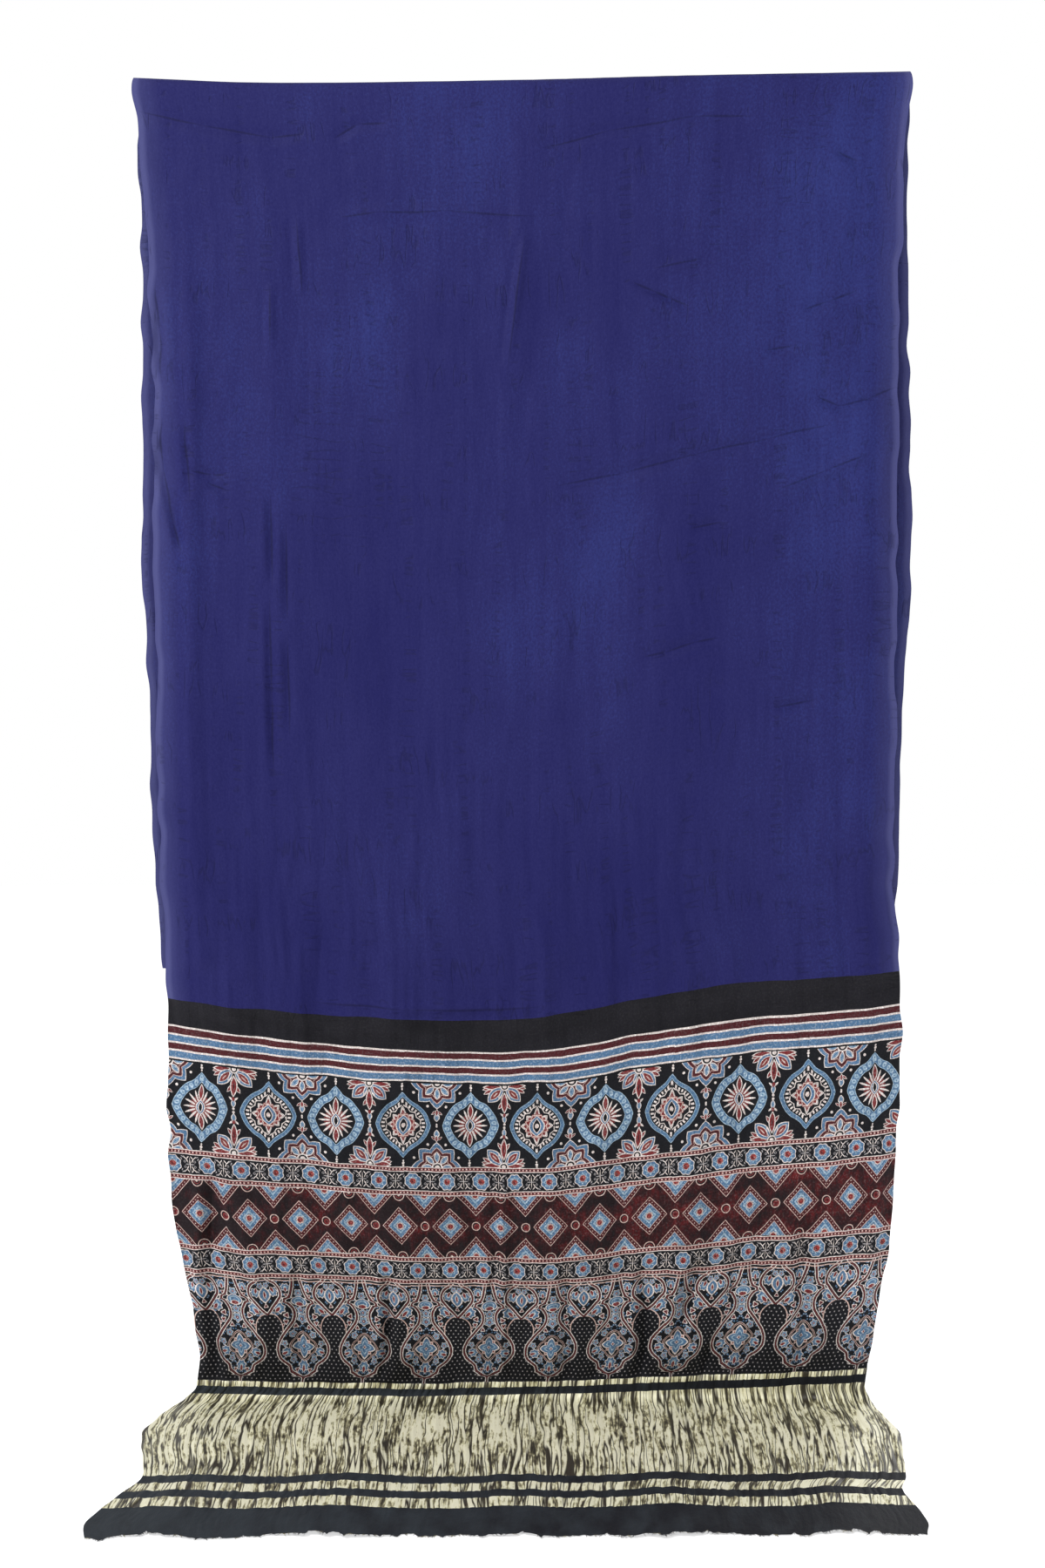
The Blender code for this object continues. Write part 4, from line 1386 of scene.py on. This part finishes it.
def notched(across, weft):
    """How far the cut end's notches and waves draw each weft line back."""
    x = across * CLOTH_WIDTH
    still = np.zeros_like(x)
    waves = 0.8 * drift(x, still, 0.075, 1.0, 21) + 0.5 * drift(x, still, 0.020, 1.0, 22)
    nicks = 0.9 * drift(x, still, 0.0075, 1.0, 23) ** 3
    near = smooth(BANDS_END + 0.03, FRONT_LENGTH, weft)
    return bpy.context.scene.ajrakh_sizes.hem_notch * near * (waves + nicks)


class AJRAKH_OT_tissue_end(bpy.types.Operator):
    """Weaves the crushed metal tissue, its black lines and the black end"""

    bl_idname = "ajrakh.tissue_end"
    bl_label = "Tissue End"

    def execute(self, context):
        dyes = context.scene.ajrakh_dyes
        tissue, black = tissue_silk(dyes), end_silk(dyes)
        bands = [
            (PRINT_END, tissue, 4),
            (NARROW_LINE, black, 5),
            (TISSUE_START, tissue, 100),
            (TISSUE_END,),
        ]
        woven_sheet("tissue_band", bands, 900)
        bands = [
            (TISSUE_END, black, 9),
            (FIRST_STRIP, tissue, 12),
            (SECOND_LINE, black, 9),
            (SECOND_STRIP, tissue, 12),
            (BANDS_END, black, 44),
            (FRONT_LENGTH,),
        ]
        woven_sheet("black_end", bands, 700, notched)
        return {"FINISHED"}


class AJRAKH_OT_loose_yarns(bpy.types.Operator):
    """Frays the cut end into loose yarns"""

    bl_idname = "ajrakh.loose_yarns"
    bl_label = "Loose Yarns"

    def execute(self, context):
        sizes = context.scene.ajrakh_sizes
        chance = np.random.default_rng(31)
        across = np.sort(chance.uniform(0.002, 0.998, sizes.yarn_count))
        weft = np.full_like(across, FRONT_LENGTH)
        roots = hang(across, weft + notched(across, weft))
        bm = bmesh.new()
        for root in roots:
            length = sizes.yarn_length * chance.uniform(0.3, 1.0)
            turn = Euler((QUARTER + chance.uniform(-0.05, 0.2), 0, chance.uniform(-0.8, 0.8)))
            place = Matrix.Translation(root) @ turn.to_matrix().to_4x4()
            place @= Matrix.Translation((0, 0, 0.35 * length))
            bmesh.ops.create_cone(
                bm, segments=5, radius1=0.0004, radius2=0.0001, depth=length, cap_ends=True, matrix=place
            )
        for vert in bm.verts:
            vert.co.z = max(vert.co.z, FLOOR)
        yarns = new_piece("loose_yarns", bm)
        yarns.data.uv_layers.new(name=WEAVE)
        yarns.data.materials.append(yarn_silk(context.scene.ajrakh_dyes))
        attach(yarns, "root")
        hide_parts("cloth")
        return {"FINISHED"}


class AJRAKH_PT_panel(bpy.types.Panel):
    """The cloth's pieces, in the order in which they are made"""

    bl_idname = "AJRAKH_PT_panel"
    bl_label = "Ajrakh Cloth"
    bl_space_type = "VIEW_3D"
    bl_region_type = "UI"
    bl_category = "Ajrakh"

    def draw(self, context):
        for operator in OPERATORS:
            self.layout.operator(operator.bl_idname)
        for group in (context.scene.ajrakh_sizes, context.scene.ajrakh_dyes):
            for name in group.__annotations__:
                self.layout.prop(group, name)


OPERATORS = (
    AJRAKH_OT_stage,
    AJRAKH_OT_body,
    AJRAKH_OT_printed_end,
    AJRAKH_OT_tissue_end,
    AJRAKH_OT_loose_yarns,
)
CLASSES = (AjrakhSizes, AjrakhDyes, *OPERATORS, AJRAKH_PT_panel)


def register():
    for cls in CLASSES:
        bpy.utils.register_class(cls)
    bpy.types.Scene.ajrakh_sizes = bpy.props.PointerProperty(type=AjrakhSizes)
    bpy.types.Scene.ajrakh_dyes = bpy.props.PointerProperty(type=AjrakhDyes)


def unregister():
    del bpy.types.Scene.ajrakh_dyes
    del bpy.types.Scene.ajrakh_sizes
    for cls in reversed(CLASSES):
        bpy.utils.unregister_class(cls)


def main():
    register()
    bpy.ops.ajrakh.stage()
    bpy.ops.ajrakh.body()
    bpy.ops.ajrakh.printed_end()
    bpy.ops.ajrakh.tissue_end()
    bpy.ops.ajrakh.loose_yarns()
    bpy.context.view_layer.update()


if __name__ == "__main__":
    main()
